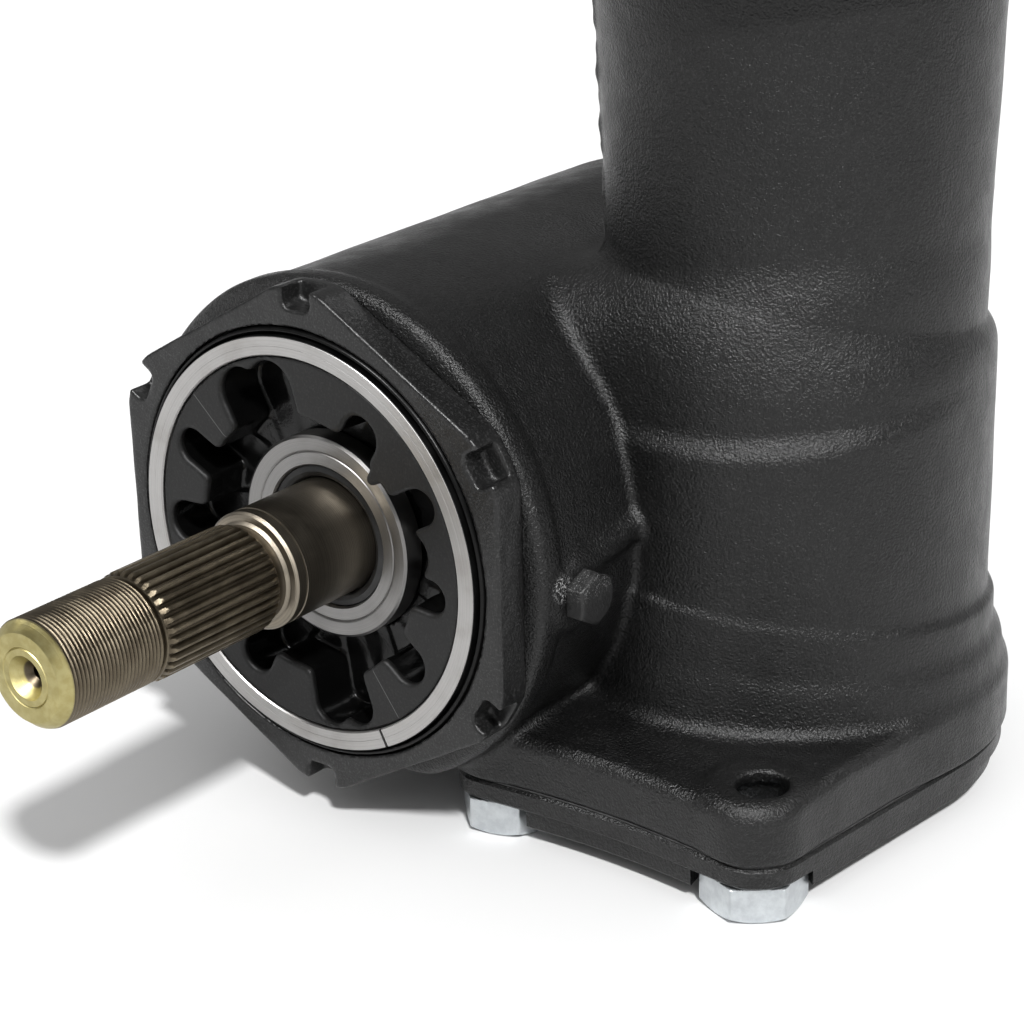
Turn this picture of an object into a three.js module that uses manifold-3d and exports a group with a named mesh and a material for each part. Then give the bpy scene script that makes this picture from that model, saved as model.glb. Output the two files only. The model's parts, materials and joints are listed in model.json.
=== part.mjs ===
// Right angle bevel gearbox with a bevel stage and a spur stage, in millimetres.
// Origin: on the vertical input axis, at the underside of the bottom cover. +Z is up, and the splined
// output shaft points along -Y. It lies CENTRE_DISTANCE to the left of the input axis.
import * as THREE from 'three';
import { mergeVertices } from 'three/addons/utils/BufferGeometryUtils.js';
import Module from 'manifold-3d';

const wasm = await Module();
wasm.setup();

// Main axes: the output and input axes stand CENTRE_DISTANCE apart, at right angles
const CENTRE_DISTANCE = 100;
const AXIS_HEIGHT = 95;
const FACE_Y = -134;

// Bottom cover, gasket and base bolts
const SEAT_Z = 7.5;
const COVER_TOP_Z = 15.0;
const GASKET_Z = [15.2, 15.9];
const BASE_Z = 16.1;
const BASE_RADIUS = 72.5;
const BASE_BOLTS = [[-50.6, -92.2], [46.6, -92.2], [4, 80], [-66, 50]];
const LOBE_RADIUS = 17.5;
const PAD_INSET = 4;
const RIDGE_Z = 30;
const PAD_TOP_Z = 36;
const LEDGE = { frontY: -108, backY: -70, z: 42 };
const BASE_TOP_Z = 42;
const LEDGE_HOLE = { radius: 8.3, shift: 3 };

// Housing walls
const BODY = { radius: 65.5, top: 145 };
const CAVITY = { radius: 57.5, top: 148 };
const UNDERSIDE_CUT = [180, 230, 20];
const TUBE_RADIUS = [60.2, 64.7];
const TUBE_BORE = 50;
const SHOULDER_TOP_Z = 156;
const DIAPHRAGM_TOP_Z = 173;
const TOP_FLANGE = { radius: 80, z: [286, 300] };
const BOSS_RADIUS = 85;
const COLLAR_RADIUS = 86.5;
const BOSS_FRONT_Y = -119;
const BOSS_BACK_Y = 64;
const BACK_FACE_Y = 78;
const BOSS_BORE = 70;
const BOSS_BORE_END_Y = 56;
const SPIGOT = { radius: 76.4, y: -126 };
const MID_BOSS = { pocket: 49.5, pocketY: [20, 44.2], bearing: 36, end: 62 };
const SIDE_LUG = { y: -101, z: 88.5, radius: 12, length: 58, x: -13.5 };
const CHAMBER = { boss: [-62, 0, 66], column: [-5, 0, 60], z: [41, 171], chamfer: 9 };
const PINION_POCKET = { radius: 44, y: 22 };

// Front ring stack
const HEX_RING = { apothem: 79, corner: 86.5, y: [-132, -119.3], lip: 73.3, thread: 76.8, lipY: -126.4 };
const CORNER_SLOT = { width: 10, depth: 9, length: 8 };
const PILOT_RING = { inner: 63.9, outer: 70.4, y: [FACE_Y, -120.3], gap: 1.6, gapAngle: -63 };
const PILOT_SEAL = { inner: 70.7, outer: 73.0, y: [-132.4, -126.7] };
const CARRIER = { face: 63.5, body: 69.6, y: [-133.4, -120, -94, -82, -74], hub: 41 };
const CARRIER_WELL = { radius: 45, bottomY: -122 };

// Lobes cut outward from the carrier's well: angle in degrees, outer radius, half width
const CARRIER_LOBES = [[184, 60, 6.5], [153, 60, 6.5], [119, 61.5, 8], [101, 61.5, 8], [60, 56.5, 7],
  [27, 60, 6.5], [-6, 58, 6], [-37, 58.5, 7], [-70, 61.5, 6.5], [-83, 61.5, 6.5], [-119, 57, 6.5],
  [-150, 60, 6.5]];
const SEAL = { case: 34.6, lip: 24.25, y: [-124, -116], lipY: [-123, -117] };

// Shafts
const OUTPUT = { endY: -254.4, threadY: -214.2, splineY: -163.5, neckY: -159, thread: 17.4, neck: 17,
  journal: 19.7, shoulder: 27, gearSeat: 24, centre: 5, centreDepth: 6 };
const SPLINE = { teeth: 33, tip: 18, root: 16.4, core: 15.9 };
const BEARING_40 = { bore: 20, race: 24.5, cup: 30.5, outer: 34, width: 19 };
const BEARING_30 = { bore: 15, race: 19, cup: 26, outer: 31, width: 16 };
const FRONT_BEARING_Y = -106;
const REAR_BEARING_Y = 58;
const MID_FRONT_BEARING_Y = -50.5;
const MID_REAR_BEARING_Y = 44.8;
const LOWER_BEARING_Z = 152;
const UPPER_BEARING_Z = 262;
const INPUT = { collar: 26, seat: 19.7, middle: 22, sealed: 18.4, stub: 16, top: 360, stubZ: 318 };
const MIDDLE = { shoulder: 23, shoulderY: 16, pinionBore: 19 };
const ROLLERS = 9;

// The gap between neighbouring pieces, and how far a cutter runs past a face
const RUNNING_GAP = 0.3;
const CUT = 1;

// Covers, screws and plugs
const REAR_COVER = { radius: 47, pitch: 41, thickness: 8, cup: 28.5, cupDepth: 20, wall: 5 };
const MID_CAP = { radius: 30.9, thickness: 3.5, rim: 26, recess: 1.5 };
const INPUT_COVER = { radius: 80, pitch: 71, thickness: 12, spigot: 49.6, spigotZ: 258, boss: 34,
  seal: 28.3 };
const EDGE = 1.5;
const M20 = { flats: 30, head: 12.5, radius: 9.8, tip: 33 };
const M8 = { flats: 13, head: 5.5, radius: 4, length: 31 };
const M6 = { flats: 10, head: 4, radius: 3, length: 20 };
const LEVEL_PLUG = { flats: 16, head: 7, thread: 5, length: 12 };
const DRAIN_PLUG = { x: 0, y: 40, radius: 9, z: [0.5, 13], socket: 8, socketTop: 7 };
const OUTPUT_NUT = { bore: 17.9, radius: 21, thickness: 8 };
const INPUT_NUT = { bore: 18.9, radius: 21.5, thickness: 7 };
const GEAR_KEY = { width: 8, height: 6.4 };
const INPUT_KEY = { width: 5, height: 5.4, length: 30, drop: 22 };

// Gears
const PRESSURE_ANGLE = THREE.MathUtils.degToRad(20);
const BACKLASH = 0.5;
const SPUR = { module: 4, wheelTeeth: 31, pinionTeeth: 19, y: [27.5, 43.5] };
const BEVEL = { module: 3, wheelTeeth: 32, pinionTeeth: 16, face: 16 };
const WHEEL_RECESS = { radius: [34, 53], depth: 6 };
const BEVEL_HUB = { wheel: [33, 14], pinion: [50, 30], pinionBore: 8 };

// Sides of a large ring, a shaft, a bearing ring, a small boss and a screw hole
const ROUND = 28;
const SHAFT_ROUND = 20;
const BEARING_ROUND = 16;
const SMALL_ROUND = 10;
const BOLT_ROUND = 6;

const MATERIALS = {
  castPaint: new THREE.MeshStandardMaterial({ color: 0x2b2b2c, roughness: 0.62, metalness: 0.1 }),
  machined: new THREE.MeshStandardMaterial({ color: 0xa8a8a2, roughness: 0.35, metalness: 0.9 }),
  shaftSteel: new THREE.MeshStandardMaterial({ color: 0x6f6654, roughness: 0.4, metalness: 0.9 }),
  gearSteel: new THREE.MeshStandardMaterial({ color: 0x7d7f80, roughness: 0.38, metalness: 0.9 }),
  bearingSteel: new THREE.MeshStandardMaterial({ color: 0xb9bcbe, roughness: 0.2, metalness: 1.0 }),
  zinc: new THREE.MeshStandardMaterial({ color: 0xcdd2d4, roughness: 0.4, metalness: 0.85 }),
  rubber: new THREE.MeshStandardMaterial({ color: 0x141414, roughness: 0.55, metalness: 0.0 }),
  gasket: new THREE.MeshStandardMaterial({ color: 0x2f3331, roughness: 0.85, metalness: 0.0 }),
};

// ---------------------------------------------------------------- solids and outlines

function toSolid(geometry) {
  geometry.deleteAttribute('normal');
  geometry.deleteAttribute('uv');
  const merged = mergeVertices(geometry, 1e-4);
  return new wasm.Manifold(new wasm.Mesh({
    numProp: 3,
    vertProperties: new Float32Array(merged.attributes.position.array),
    triVerts: new Uint32Array(merged.index.array),
  }));
}

function toGeometry(solid) {
  const mesh = solid.getMesh();
  const geometry = new THREE.BufferGeometry();
  geometry.setAttribute('position', new THREE.BufferAttribute(mesh.vertProperties, 3));
  geometry.setIndex(new THREE.BufferAttribute(mesh.triVerts, 1));
  return geometry;
}

function joined(...geometries) {
  return geometries.map(toSolid).reduce((sum, next) => sum.add(next));
}

// A profile is a list of [radius, height] points. It runs up the outside and down the inside.
function turnedY(profile, segments = ROUND) {
  const points = profile.map(([radius, height]) => new THREE.Vector2(radius, height));
  return new THREE.LatheGeometry(points, segments);
}

function turnedZ(profile, segments = ROUND) {
  return turnedY(profile, segments).rotateX(Math.PI / 2);
}

function discProfile(radius, [low, high]) {
  return [[0, low], [radius, low], [radius, high], [0, high]];
}

function ringProfile(inner, outer, [low, high]) {
  return [[inner, low], [outer, low], [outer, high], [inner, high], [inner, low]];
}

// The radius of a many-sided hole that clears a round pin of the given radius all round.
function clearing(radius, sides) {
  return (radius + RUNNING_GAP) / Math.cos(Math.PI / sides);
}

function prismZ(shape, [low, high], curveSegments = 12) {
  const options = { depth: high - low, bevelEnabled: false, curveSegments };
  return new THREE.ExtrudeGeometry(shape, options).translate(0, 0, low);
}

// A shape drawn in X and Z, extruded along Y.
function prismY(shape, [low, high], curveSegments = 12) {
  const options = { depth: high - low, bevelEnabled: false, curveSegments };
  return new THREE.ExtrudeGeometry(shape, options).rotateX(Math.PI / 2).translate(0, high, 0);
}

function polygon(points) {
  return new THREE.Shape(points.map(([x, y]) => new THREE.Vector2(x, y)));
}

function polar(radius, angle) {
  return [radius * Math.cos(angle), radius * Math.sin(angle)];
}

function hexagon(flats, turn = 0) {
  const corner = flats / Math.sqrt(3);
  return polygon([0, 1, 2, 3, 4, 5].map((k) => polar(corner, turn + k * Math.PI / 3)));
}

function piece(name, geometry, material) {
  const mesh = new THREE.Mesh(geometry, material);
  mesh.name = name;
  return mesh;
}

// ---------------------------------------------------------------- fasteners

// A hex screw along +Z, with the head below z = 0 and the shank above it.
function hexScrew(flats, head, radius, length) {
  const headPrism = prismZ(hexagon(flats), [-head, 0]);
  const shank = turnedZ(discProfile(radius, [-0.5, length]), BOLT_ROUND);
  return toGeometry(joined(headPrism, shank));
}

function boltCircle(count, radius, phase) {
  return Array.from({ length: count }, (_, k) => polar(radius, phase + k * 2 * Math.PI / count));
}

// ---------------------------------------------------------------- base plan

// The outline of a band stretched round circles, given anticlockwise as [x, y, radius].
function stretchedBand(circles) {
  const shape = new THREE.Shape();
  const count = circles.length;
  const tangents = circles.map(([x, y, radius], k) => {
    const [nextX, nextY, nextRadius] = circles[(k + 1) % count];
    const [dx, dy] = [nextX - x, nextY - y];
    const lean = Math.asin((nextRadius - radius) / Math.hypot(dx, dy));
    return Math.atan2(dy, dx) - Math.PI / 2 - lean;
  });
  circles.forEach(([x, y, radius], k) => {
    const start = tangents[(k + count - 1) % count];
    const end = tangents[k];
    shape.absarc(x, y, radius, start, end < start ? end + 2 * Math.PI : end, false);
  });
  shape.closePath();
  return shape;
}

function baseOutline(inset = 0) {
  const [frontLeft, frontRight, back, left] = BASE_BOLTS;
  const lobe = (place) => [...place, LOBE_RADIUS - inset];
  const round = [0, 0, BASE_RADIUS - inset];
  return stretchedBand([lobe(frontLeft), lobe(frontRight), round, lobe(back), lobe(left)]);
}

function basePlate(levels, inset = 0) {
  return toSolid(prismZ(baseOutline(inset), levels, 6));
}

function drillBase(solid, radius, levels) {
  return BASE_BOLTS.reduce((rest, [x, y]) => {
    const hole = turnedZ(discProfile(radius, levels), SMALL_ROUND).translate(x, y, 0);
    return rest.subtract(toSolid(hole));
  }, solid);
}

// ---------------------------------------------------------------- housing

function onOutputAxis(geometry) {
  return geometry.translate(-CENTRE_DISTANCE, 0, AXIS_HEIGHT);
}

function onMiddleAxis(geometry) {
  return geometry.translate(0, 0, AXIS_HEIGHT);
}

// The ledge slopes up from its front edge to the foot of the column.
function baseFlange() {
  const { frontY, backY, z } = LEDGE;
  const reach = BASE_BOLTS[1][0] - BASE_BOLTS[0][0];
  const slope = polygon([[frontY, RIDGE_Z - 1], [0, RIDGE_Z - 1], [0, z], [backY, z], [frontY, RIDGE_Z]]);
  const wedge = new THREE.ExtrudeGeometry(slope, { depth: reach, bevelEnabled: false });
  wedge.rotateX(Math.PI / 2).rotateZ(Math.PI / 2).translate(BASE_BOLTS[0][0], 0, 0);
  const round = turnedZ(discProfile(BASE_RADIUS, [BASE_Z, BASE_TOP_Z]));
  const pads = BASE_BOLTS.slice(0, 2).map(([x, y]) => {
    const profile = [[0, BASE_Z], [LOBE_RADIUS, BASE_Z], [LOBE_RADIUS, RIDGE_Z],
      [LOBE_RADIUS - 5, PAD_TOP_Z], [0, PAD_TOP_Z]];
    return turnedZ(profile, SHAFT_ROUND).translate(x, y, 0);
  });
  return basePlate([BASE_Z, RIDGE_Z]).add(joined(wedge, round, ...pads));
}

function column() {
  const [narrow, wide] = TUBE_RADIUS;
  const { radius, z } = TOP_FLANGE;
  return joined(turnedZ([[0, BASE_Z], [BODY.radius, BASE_Z], [BODY.radius, BODY.top],
    [narrow, SHOULDER_TOP_Z], [wide, z[0] - 12], [radius, z[0]], [radius, z[1]], [0, z[1]]]));
}

// A flat-sided chamber that joins the column to the boss.
function gearChamber() {
  const { boss, column: towards, z: [bottom, top], chamfer } = CHAMBER;
  const band = (inset) => stretchedBand([boss, towards].map(([x, y, radius]) => [x, y, radius - inset]));
  const sides = toSolid(prismZ(band(0), [bottom, top - chamfer], 24));
  return sides.add(toSolid(prismZ(band(chamfer), [bottom, top], 24))).hull();
}

function outputBoss() {
  const boss = onOutputAxis(turnedY([[0, SPIGOT.y], [SPIGOT.radius, SPIGOT.y],
    [SPIGOT.radius, BOSS_FRONT_Y], [COLLAR_RADIUS - 2, BOSS_FRONT_Y], [COLLAR_RADIUS, BOSS_FRONT_Y + 3],
    [COLLAR_RADIUS, BOSS_FRONT_Y + 8], [BOSS_RADIUS, BOSS_FRONT_Y + 12], [BOSS_RADIUS, BOSS_BACK_Y],
    [REAR_COVER.radius + 9, BACK_FACE_Y], [0, BACK_FACE_Y]]));
  const { pocket, pocketY: [start, pocketEnd], bearing: seat, end } = MID_BOSS;
  const middle = onMiddleAxis(turnedY([[0, start], [pocket, start], [pocket, pocketEnd],
    [seat, pocketEnd + 8], [seat, end], [0, end]]));
  const lug = turnedY(discProfile(SIDE_LUG.radius, [0, SIDE_LUG.length]), SMALL_ROUND).rotateZ(-Math.PI / 2);
  lug.translate(SIDE_LUG.x - SIDE_LUG.length, SIDE_LUG.y, SIDE_LUG.z);
  return joined(boss, middle, lug);
}

function frontBearingSeat() {
  const seatY = [MID_FRONT_BEARING_Y, MID_FRONT_BEARING_Y + BEARING_30.width];
  return joined(onMiddleAxis(turnedY(discProfile(BEARING_30.outer + 6, seatY), SHAFT_ROUND)));
}

function housing() {
  let solid = baseFlange().add(column()).add(gearChamber()).add(outputBoss());
  const cavity = turnedZ(discProfile(CAVITY.radius, [0, CAVITY.top]));
  const underside = new THREE.BoxGeometry(...UNDERSIDE_CUT).translate(0, 0, BASE_Z - UNDERSIDE_CUT[2] / 2);
  const ringRecess = discProfile(PILOT_RING.outer + 2 * RUNNING_GAP, [FACE_Y, PILOT_RING.y[1] + RUNNING_GAP]);
  solid = solid.subtract(toSolid(cavity)).subtract(toSolid(underside));
  solid = solid.subtract(toSolid(onOutputAxis(turnedY(discProfile(BOSS_BORE, [FACE_Y, BOSS_BORE_END_Y])))));
  solid = solid.subtract(toSolid(onOutputAxis(turnedY(ringRecess))));
  solid = solid.add(frontBearingSeat());

  const bore40 = clearing(BEARING_40.outer, ROUND);
  const bore30 = clearing(BEARING_30.outer, ROUND);
  const [pocketStart, pocketEnd] = [PINION_POCKET.y, MID_BOSS.pocketY[1]];
  const frontSeatY = [MID_FRONT_BEARING_Y - CUT, MID_FRONT_BEARING_Y + BEARING_30.width + CUT];
  const bores = [
    turnedZ(discProfile(bore40, [CAVITY.top - CUT, TOP_FLANGE.z[0]])),
    turnedZ(discProfile(TUBE_BORE, [DIAPHRAGM_TOP_Z, TOP_FLANGE.z[1] + CUT])),
    onOutputAxis(turnedY(discProfile(bore40, [BOSS_BORE_END_Y - CUT, BACK_FACE_Y + CUT]))),
    onMiddleAxis(turnedY(discProfile(PINION_POCKET.radius, [pocketStart, pocketEnd]))),
    onMiddleAxis(turnedY(discProfile(bore30, [pocketEnd - CUT, BODY.radius + CUT]))),
    onMiddleAxis(turnedY(discProfile(bore30, frontSeatY))),
  ];
  for (const bore of bores) {
    solid = solid.subtract(toSolid(bore));
  }

  const plugBore = discProfile(clearing(LEVEL_PLUG.thread, SMALL_ROUND), [0, 2 * LEVEL_PLUG.length]);
  const plugHole = turnedY(plugBore, SMALL_ROUND).rotateZ(-Math.PI / 2);
  plugHole.translate(SIDE_LUG.x - LEVEL_PLUG.length - 10, SIDE_LUG.y, SIDE_LUG.z);
  solid = solid.subtract(toSolid(plugHole));

  solid = drillBase(solid, clearing(M20.radius, SMALL_ROUND), [0, M20.tip + 0.5]);
  solid = drillLedge(solid);
  for (const [x, z] of boltCircle(4, REAR_COVER.pitch, Math.PI / 4)) {
    solid = solid.subtract(toSolid(onOutputAxis(screwHole(x, z))));
  }
  for (const [x, y] of boltCircle(4, INPUT_COVER.pitch, Math.PI / 4)) {
    const depth = [TOP_FLANGE.z[0] - 7, TOP_FLANGE.z[1] + CUT];
    const hole = turnedZ(discProfile(M8.radius + RUNNING_GAP, depth), BOLT_ROUND);
    solid = solid.subtract(toSolid(hole.translate(x, y, 0)));
  }
  return toGeometry(solid);
}

// The front bolt holes come out through the ledge.
function drillLedge(solid) {
  return BASE_BOLTS.slice(0, 2).reduce((rest, [x, y]) => {
    const hole = turnedZ(discProfile(LEDGE_HOLE.radius, [M20.tip, LEDGE.z + 20]), SMALL_ROUND);
    return rest.subtract(toSolid(hole.translate(x + LEDGE_HOLE.shift, y, 0)));
  }, solid);
}

function screwHole(x, z) {
  const depth = [BACK_FACE_Y - 12, BACK_FACE_Y + CUT];
  return turnedY(discProfile(M6.radius + RUNNING_GAP, depth), BOLT_ROUND).translate(x, 0, z);
}

function bottomCover() {
  let solid = basePlate([SEAT_Z, COVER_TOP_Z]).add(basePlate([0, SEAT_Z + 1], PAD_INSET));
  for (const [x, y] of BASE_BOLTS) {
    const spot = turnedZ(discProfile(LOBE_RADIUS + 3, [-CUT, SEAT_Z]), SMALL_ROUND).translate(x, y, 0);
    solid = solid.subtract(toSolid(spot));
  }
  solid = drillBase(solid, clearing(M20.radius, SMALL_ROUND), [0, BASE_Z]);
  const drainBore = discProfile(clearing(DRAIN_PLUG.radius, SMALL_ROUND), [-CUT, BASE_Z]);
  const drain = turnedZ(drainBore, SMALL_ROUND);
  return toGeometry(solid.subtract(toSolid(drain.translate(DRAIN_PLUG.x, DRAIN_PLUG.y, 0))));
}

function bottomGasket() {
  const plate = drillBase(basePlate(GASKET_Z), clearing(M20.radius, SMALL_ROUND), [0, BASE_Z]);
  return toGeometry(plate.subtract(toSolid(turnedZ(discProfile(CAVITY.radius, [0, BASE_Z])))));
}

// ---------------------------------------------------------------- front ring stack

function hexRing() {
  const outline = hexagon(2 * HEX_RING.apothem, Math.PI / 6);
  const hexPrism = toSolid(prismY(outline, HEX_RING.y));
  const [front, back] = HEX_RING.y;
  const corners = turnedY([[0, front], [HEX_RING.corner - 2, front], [HEX_RING.corner, front + 2],
    [HEX_RING.corner, back], [0, back]]);
  let solid = hexPrism.intersect(toSolid(corners));
  solid = solid.subtract(toSolid(turnedY(discProfile(HEX_RING.lip, [front - CUT, back + CUT]))));
  solid = solid.subtract(toSolid(turnedY(discProfile(HEX_RING.thread, [HEX_RING.lipY, back + CUT]))));
  for (let k = 0; k < 6; k += 1) {
    const slot = new THREE.BoxGeometry(CORNER_SLOT.length, CORNER_SLOT.depth, CORNER_SLOT.width);
    slot.translate(HEX_RING.corner, front + CORNER_SLOT.depth / 2 - CUT, 0);
    slot.rotateY(-Math.PI / 6 - k * Math.PI / 3);
    solid = solid.subtract(toSolid(slot));
  }
  return toGeometry(solid);
}

// A ring cut across by a narrow gap.
function pilotRing() {
  const { inner, outer, y, gap, gapAngle } = PILOT_RING;
  const ring = toSolid(turnedY(ringProfile(inner, outer, y)));
  const cut = new THREE.BoxGeometry(outer, 2 * (y[1] - y[0]), gap).translate(outer, 0, 0);
  cut.rotateY(-THREE.MathUtils.degToRad(gapAngle)).translate(0, (y[0] + y[1]) / 2, 0);
  return toGeometry(ring.subtract(toSolid(cut)));
}

function carrierLobe([degrees, outer, half]) {
  const angle = THREE.MathUtils.degToRad(degrees);
  const ends = [CARRIER_WELL.radius - half, outer - half].map((radius) => [...polar(radius, angle), half]);
  return prismY(stretchedBand(ends), [CARRIER.y[0] - CUT, CARRIER_WELL.bottomY], 6);
}

function bearingCarrier() {
  const [face, step, bodyEnd, hubStart, back] = CARRIER.y;
  const bearingBore = clearing(BEARING_40.outer, ROUND);
  const [sealBore, throat] = [SEAL.case + RUNNING_GAP, BEARING_40.cup - 1];
  const [sealStop, bearingStop] = [SEAL.y[1] + 1, FRONT_BEARING_Y - RUNNING_GAP];
  let solid = toSolid(turnedY([[sealBore, face], [CARRIER.face, face], [CARRIER.face, step],
    [CARRIER.body, step], [CARRIER.body, bodyEnd], [CARRIER.hub, hubStart], [CARRIER.hub, back],
    [bearingBore, back], [bearingBore, bearingStop], [throat, bearingStop], [throat, sealStop],
    [sealBore, sealStop], [sealBore, face]]));
  const well = turnedY(ringProfile(SEAL.case - 2, CARRIER_WELL.radius, [face - CUT, SEAL.y[0] + 1]));
  solid = solid.subtract(toSolid(well));
  for (const lobe of CARRIER_LOBES) {
    solid = solid.subtract(toSolid(carrierLobe(lobe)));
  }
  return toGeometry(solid);
}

// ---------------------------------------------------------------- bearings

// Tapered roller bearings run along +Y from y = 0. 'flip' turns the wide end round.
function cupRing(size) {
  return [[size.cup + 1.6, 0], [size.outer, 0], [size.outer, size.width], [size.cup - 0.4, size.width],
    [size.cup + 1.6, 0]];
}

function coneRing(size) {
  return [[size.bore + RUNNING_GAP, 0], [size.race + 1.6, 0], [size.race - 0.4, size.width],
    [size.bore + RUNNING_GAP, size.width], [size.bore + RUNNING_GAP, 0]];
}

function rollerCage(size) {
  const points = [];
  const holePoints = [];
  const pitch = 2 * Math.PI / ROLLERS;
  const [low, high] = [size.race + 2.0, size.cup - 1.2];
  const thin = (high - low) * 0.28;
  for (let k = 0; k < ROLLERS; k += 1) {
    for (const [part, swell] of [[0.1, 0], [0.3, 1], [0.7, 1], [0.9, 0]]) {
      const angle = (k + part) * pitch;
      points.push(polar(high - thin * (1 - swell), angle));
      holePoints.push(polar(low + thin * (1 - swell), angle));
    }
  }
  const shape = polygon(points);
  shape.holes.push(new THREE.Path(holePoints.map(([x, y]) => new THREE.Vector2(x, y))));
  return prismY(shape, [1.2, size.width - 1.2]);
}

function bearing(prefix, size, flip) {
  const parts = [
    piece(`${prefix}_cup`, turnedY(cupRing(size), BEARING_ROUND), MATERIALS.bearingSteel),
    piece(`${prefix}_roller_cage`, rollerCage(size), MATERIALS.bearingSteel),
    piece(`${prefix}_cone`, turnedY(coneRing(size), BEARING_ROUND), MATERIALS.bearingSteel),
  ];
  const group = new THREE.Group();
  group.add(...parts);
  if (flip) {
    group.rotation.z = Math.PI;
    group.position.y = size.width;
  }
  const holder = new THREE.Group();
  holder.add(group);
  return holder;
}

// ---------------------------------------------------------------- gears

function involute(angle) {
  return Math.tan(angle) - angle;
}

// Half of the angle that a tooth takes up at a radius, with half the backlash removed.
function toothHalfAngle(radius, pitchRadius, teeth) {
  const baseRadius = pitchRadius * Math.cos(PRESSURE_ANGLE);
  const angleHere = Math.acos(Math.min(1, baseRadius / Math.max(radius, baseRadius)));
  const atPitch = Math.PI / (2 * teeth) - BACKLASH / (2 * pitchRadius);
  return atPitch + involute(PRESSURE_ANGLE) - involute(angleHere);
}

function gearOutline(module, teeth, phase) {
  const pitchRadius = module * teeth / 2;
  const radii = [pitchRadius - 1.25 * module, pitchRadius, pitchRadius + module];
  const points = [];
  for (let k = 0; k < teeth; k += 1) {
    const centre = phase + k * 2 * Math.PI / teeth;
    for (const radius of radii) {
      points.push(polar(radius, centre - toothHalfAngle(radius, pitchRadius, teeth)));
    }
    for (const radius of [...radii].reverse()) {
      points.push(polar(radius, centre + toothHalfAngle(radius, pitchRadius, teeth)));
    }
  }
  return polygon(points);
}

// One end of a straight bevel gear: points on its back cone, [distance from axis, angle, axial offset].
function bevelRing(teeth, coneAngle, phase, scale) {
  const pitchRadius = BEVEL.module * teeth / 2;
  const virtualRadius = pitchRadius / Math.cos(coneAngle);
  const virtualTeeth = teeth / Math.cos(coneAngle);
  const apex = pitchRadius / Math.tan(coneAngle);
  const steps = [[-1.2, -1], [1, -1], [1, 1], [-1.2, 1]];
  const ring = [];
  for (let k = 0; k < teeth; k += 1) {
    const centre = phase + k * 2 * Math.PI / teeth;
    for (const [height, side] of steps) {
      const rise = height * BEVEL.module;
      const half = toothHalfAngle(virtualRadius + rise, virtualRadius, virtualTeeth) / Math.cos(coneAngle);
      const [x, z] = polar(scale * (pitchRadius + rise * Math.cos(coneAngle)), centre + side * half);
      ring.push([x, scale * (apex - rise * Math.sin(coneAngle)), z]);
    }
  }
  return ring;
}

function flatRing(count, teeth, phase, radius, height) {
  const perTooth = count / teeth;
  return Array.from({ length: count }, (_, k) => {
    const angle = phase + (k - (perTooth - 1) / 2) * 2 * Math.PI / count;
    const [x, z] = polar(radius, angle);
    return [x, height, z];
  });
}

// Skins a closed loop of rings, each with the same number of points.
function skinnedRings(rings) {
  const count = rings[0].length;
  const index = [];
  for (let r = 0; r < rings.length; r += 1) {
    const next = (r + 1) % rings.length;
    for (let k = 0; k < count; k += 1) {
      const [a, b] = [r * count + k, r * count + (k + 1) % count];
      const [c, d] = [next * count + k, next * count + (k + 1) % count];
      index.push(a, c, b, b, c, d);
    }
  }
  const geometry = new THREE.BufferGeometry();
  geometry.setAttribute('position', new THREE.Float32BufferAttribute(rings.flat(2), 3));
  geometry.setIndex(index);
  return geometry;
}

// A bevel gear on the Y axis with its apex at the origin and its large end at positive Y.
function bevelGear(teeth, mateTeeth, phase, bore, [backHeight, frontHeight]) {
  const coneAngle = Math.atan2(teeth, mateTeeth);
  const coneDistance = BEVEL.module * teeth / 2 / Math.sin(coneAngle);
  const large = bevelRing(teeth, coneAngle, phase, 1);
  const small = bevelRing(teeth, coneAngle, phase, 1 - BEVEL.face / coneDistance);
  const flat = (radius, height) => flatRing(large.length, teeth, phase, radius, height);
  return skinnedRings([flat(bore, frontHeight), small, large, flat(bore, backHeight)]);
}

// ---------------------------------------------------------------- output line, around the output axis

function outputShaft() {
  const { endY, threadY, splineY, neckY, thread, neck, journal, shoulder, gearSeat } = OUTPUT;
  const shoulderY = FRONT_BEARING_Y + BEARING_40.width + RUNNING_GAP;
  const rearY = REAR_BEARING_Y + BEARING_40.width;
  const nutEnd = rearY + OUTPUT_NUT.thickness + 4;
  const turned = turnedY([[0, endY + OUTPUT.centreDepth], [OUTPUT.centre, endY + OUTPUT.centreDepth - 2],
    [OUTPUT.centre, endY], [thread - 2.7, endY], [thread, endY + 3], [thread, threadY],
    [SPLINE.core, threadY], [SPLINE.core, splineY], [neck, splineY], [neck, neckY], [journal, neckY + 2],
    [journal, shoulderY], [shoulder, shoulderY], [shoulder, shoulderY + 7],
    [gearSeat, SPUR.y[0] - 7.5], [gearSeat, SPUR.y[1]], [journal, SPUR.y[1]], [journal, rearY + 0.6],
    [OUTPUT_NUT.bore - 0.5, rearY + 0.6], [OUTPUT_NUT.bore - 0.5, nutEnd], [0, nutEnd]], SHAFT_ROUND);
  const teeth = [];
  for (let k = 0; k < 2 * SPLINE.teeth; k += 1) {
    teeth.push(polar(k % 2 ? SPLINE.root : SPLINE.tip, k * Math.PI / SPLINE.teeth));
  }
  const splines = toSolid(prismY(polygon(teeth), [threadY - 0.5, splineY + 0.5]));
  return toGeometry(toSolid(turned).add(splines).subtract(toSolid(keyway(SPUR.y[1] - SPUR.y[0]))));
}

// The slot that the gear's key fills, with a gap round the key.
function keyway(length) {
  const slot = new THREE.BoxGeometry(GEAR_KEY.width + 2 * RUNNING_GAP, length + 2 * RUNNING_GAP, 8);
  return slot.translate(0, (SPUR.y[0] + SPUR.y[1]) / 2, OUTPUT.gearSeat + 0.2);
}

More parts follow.
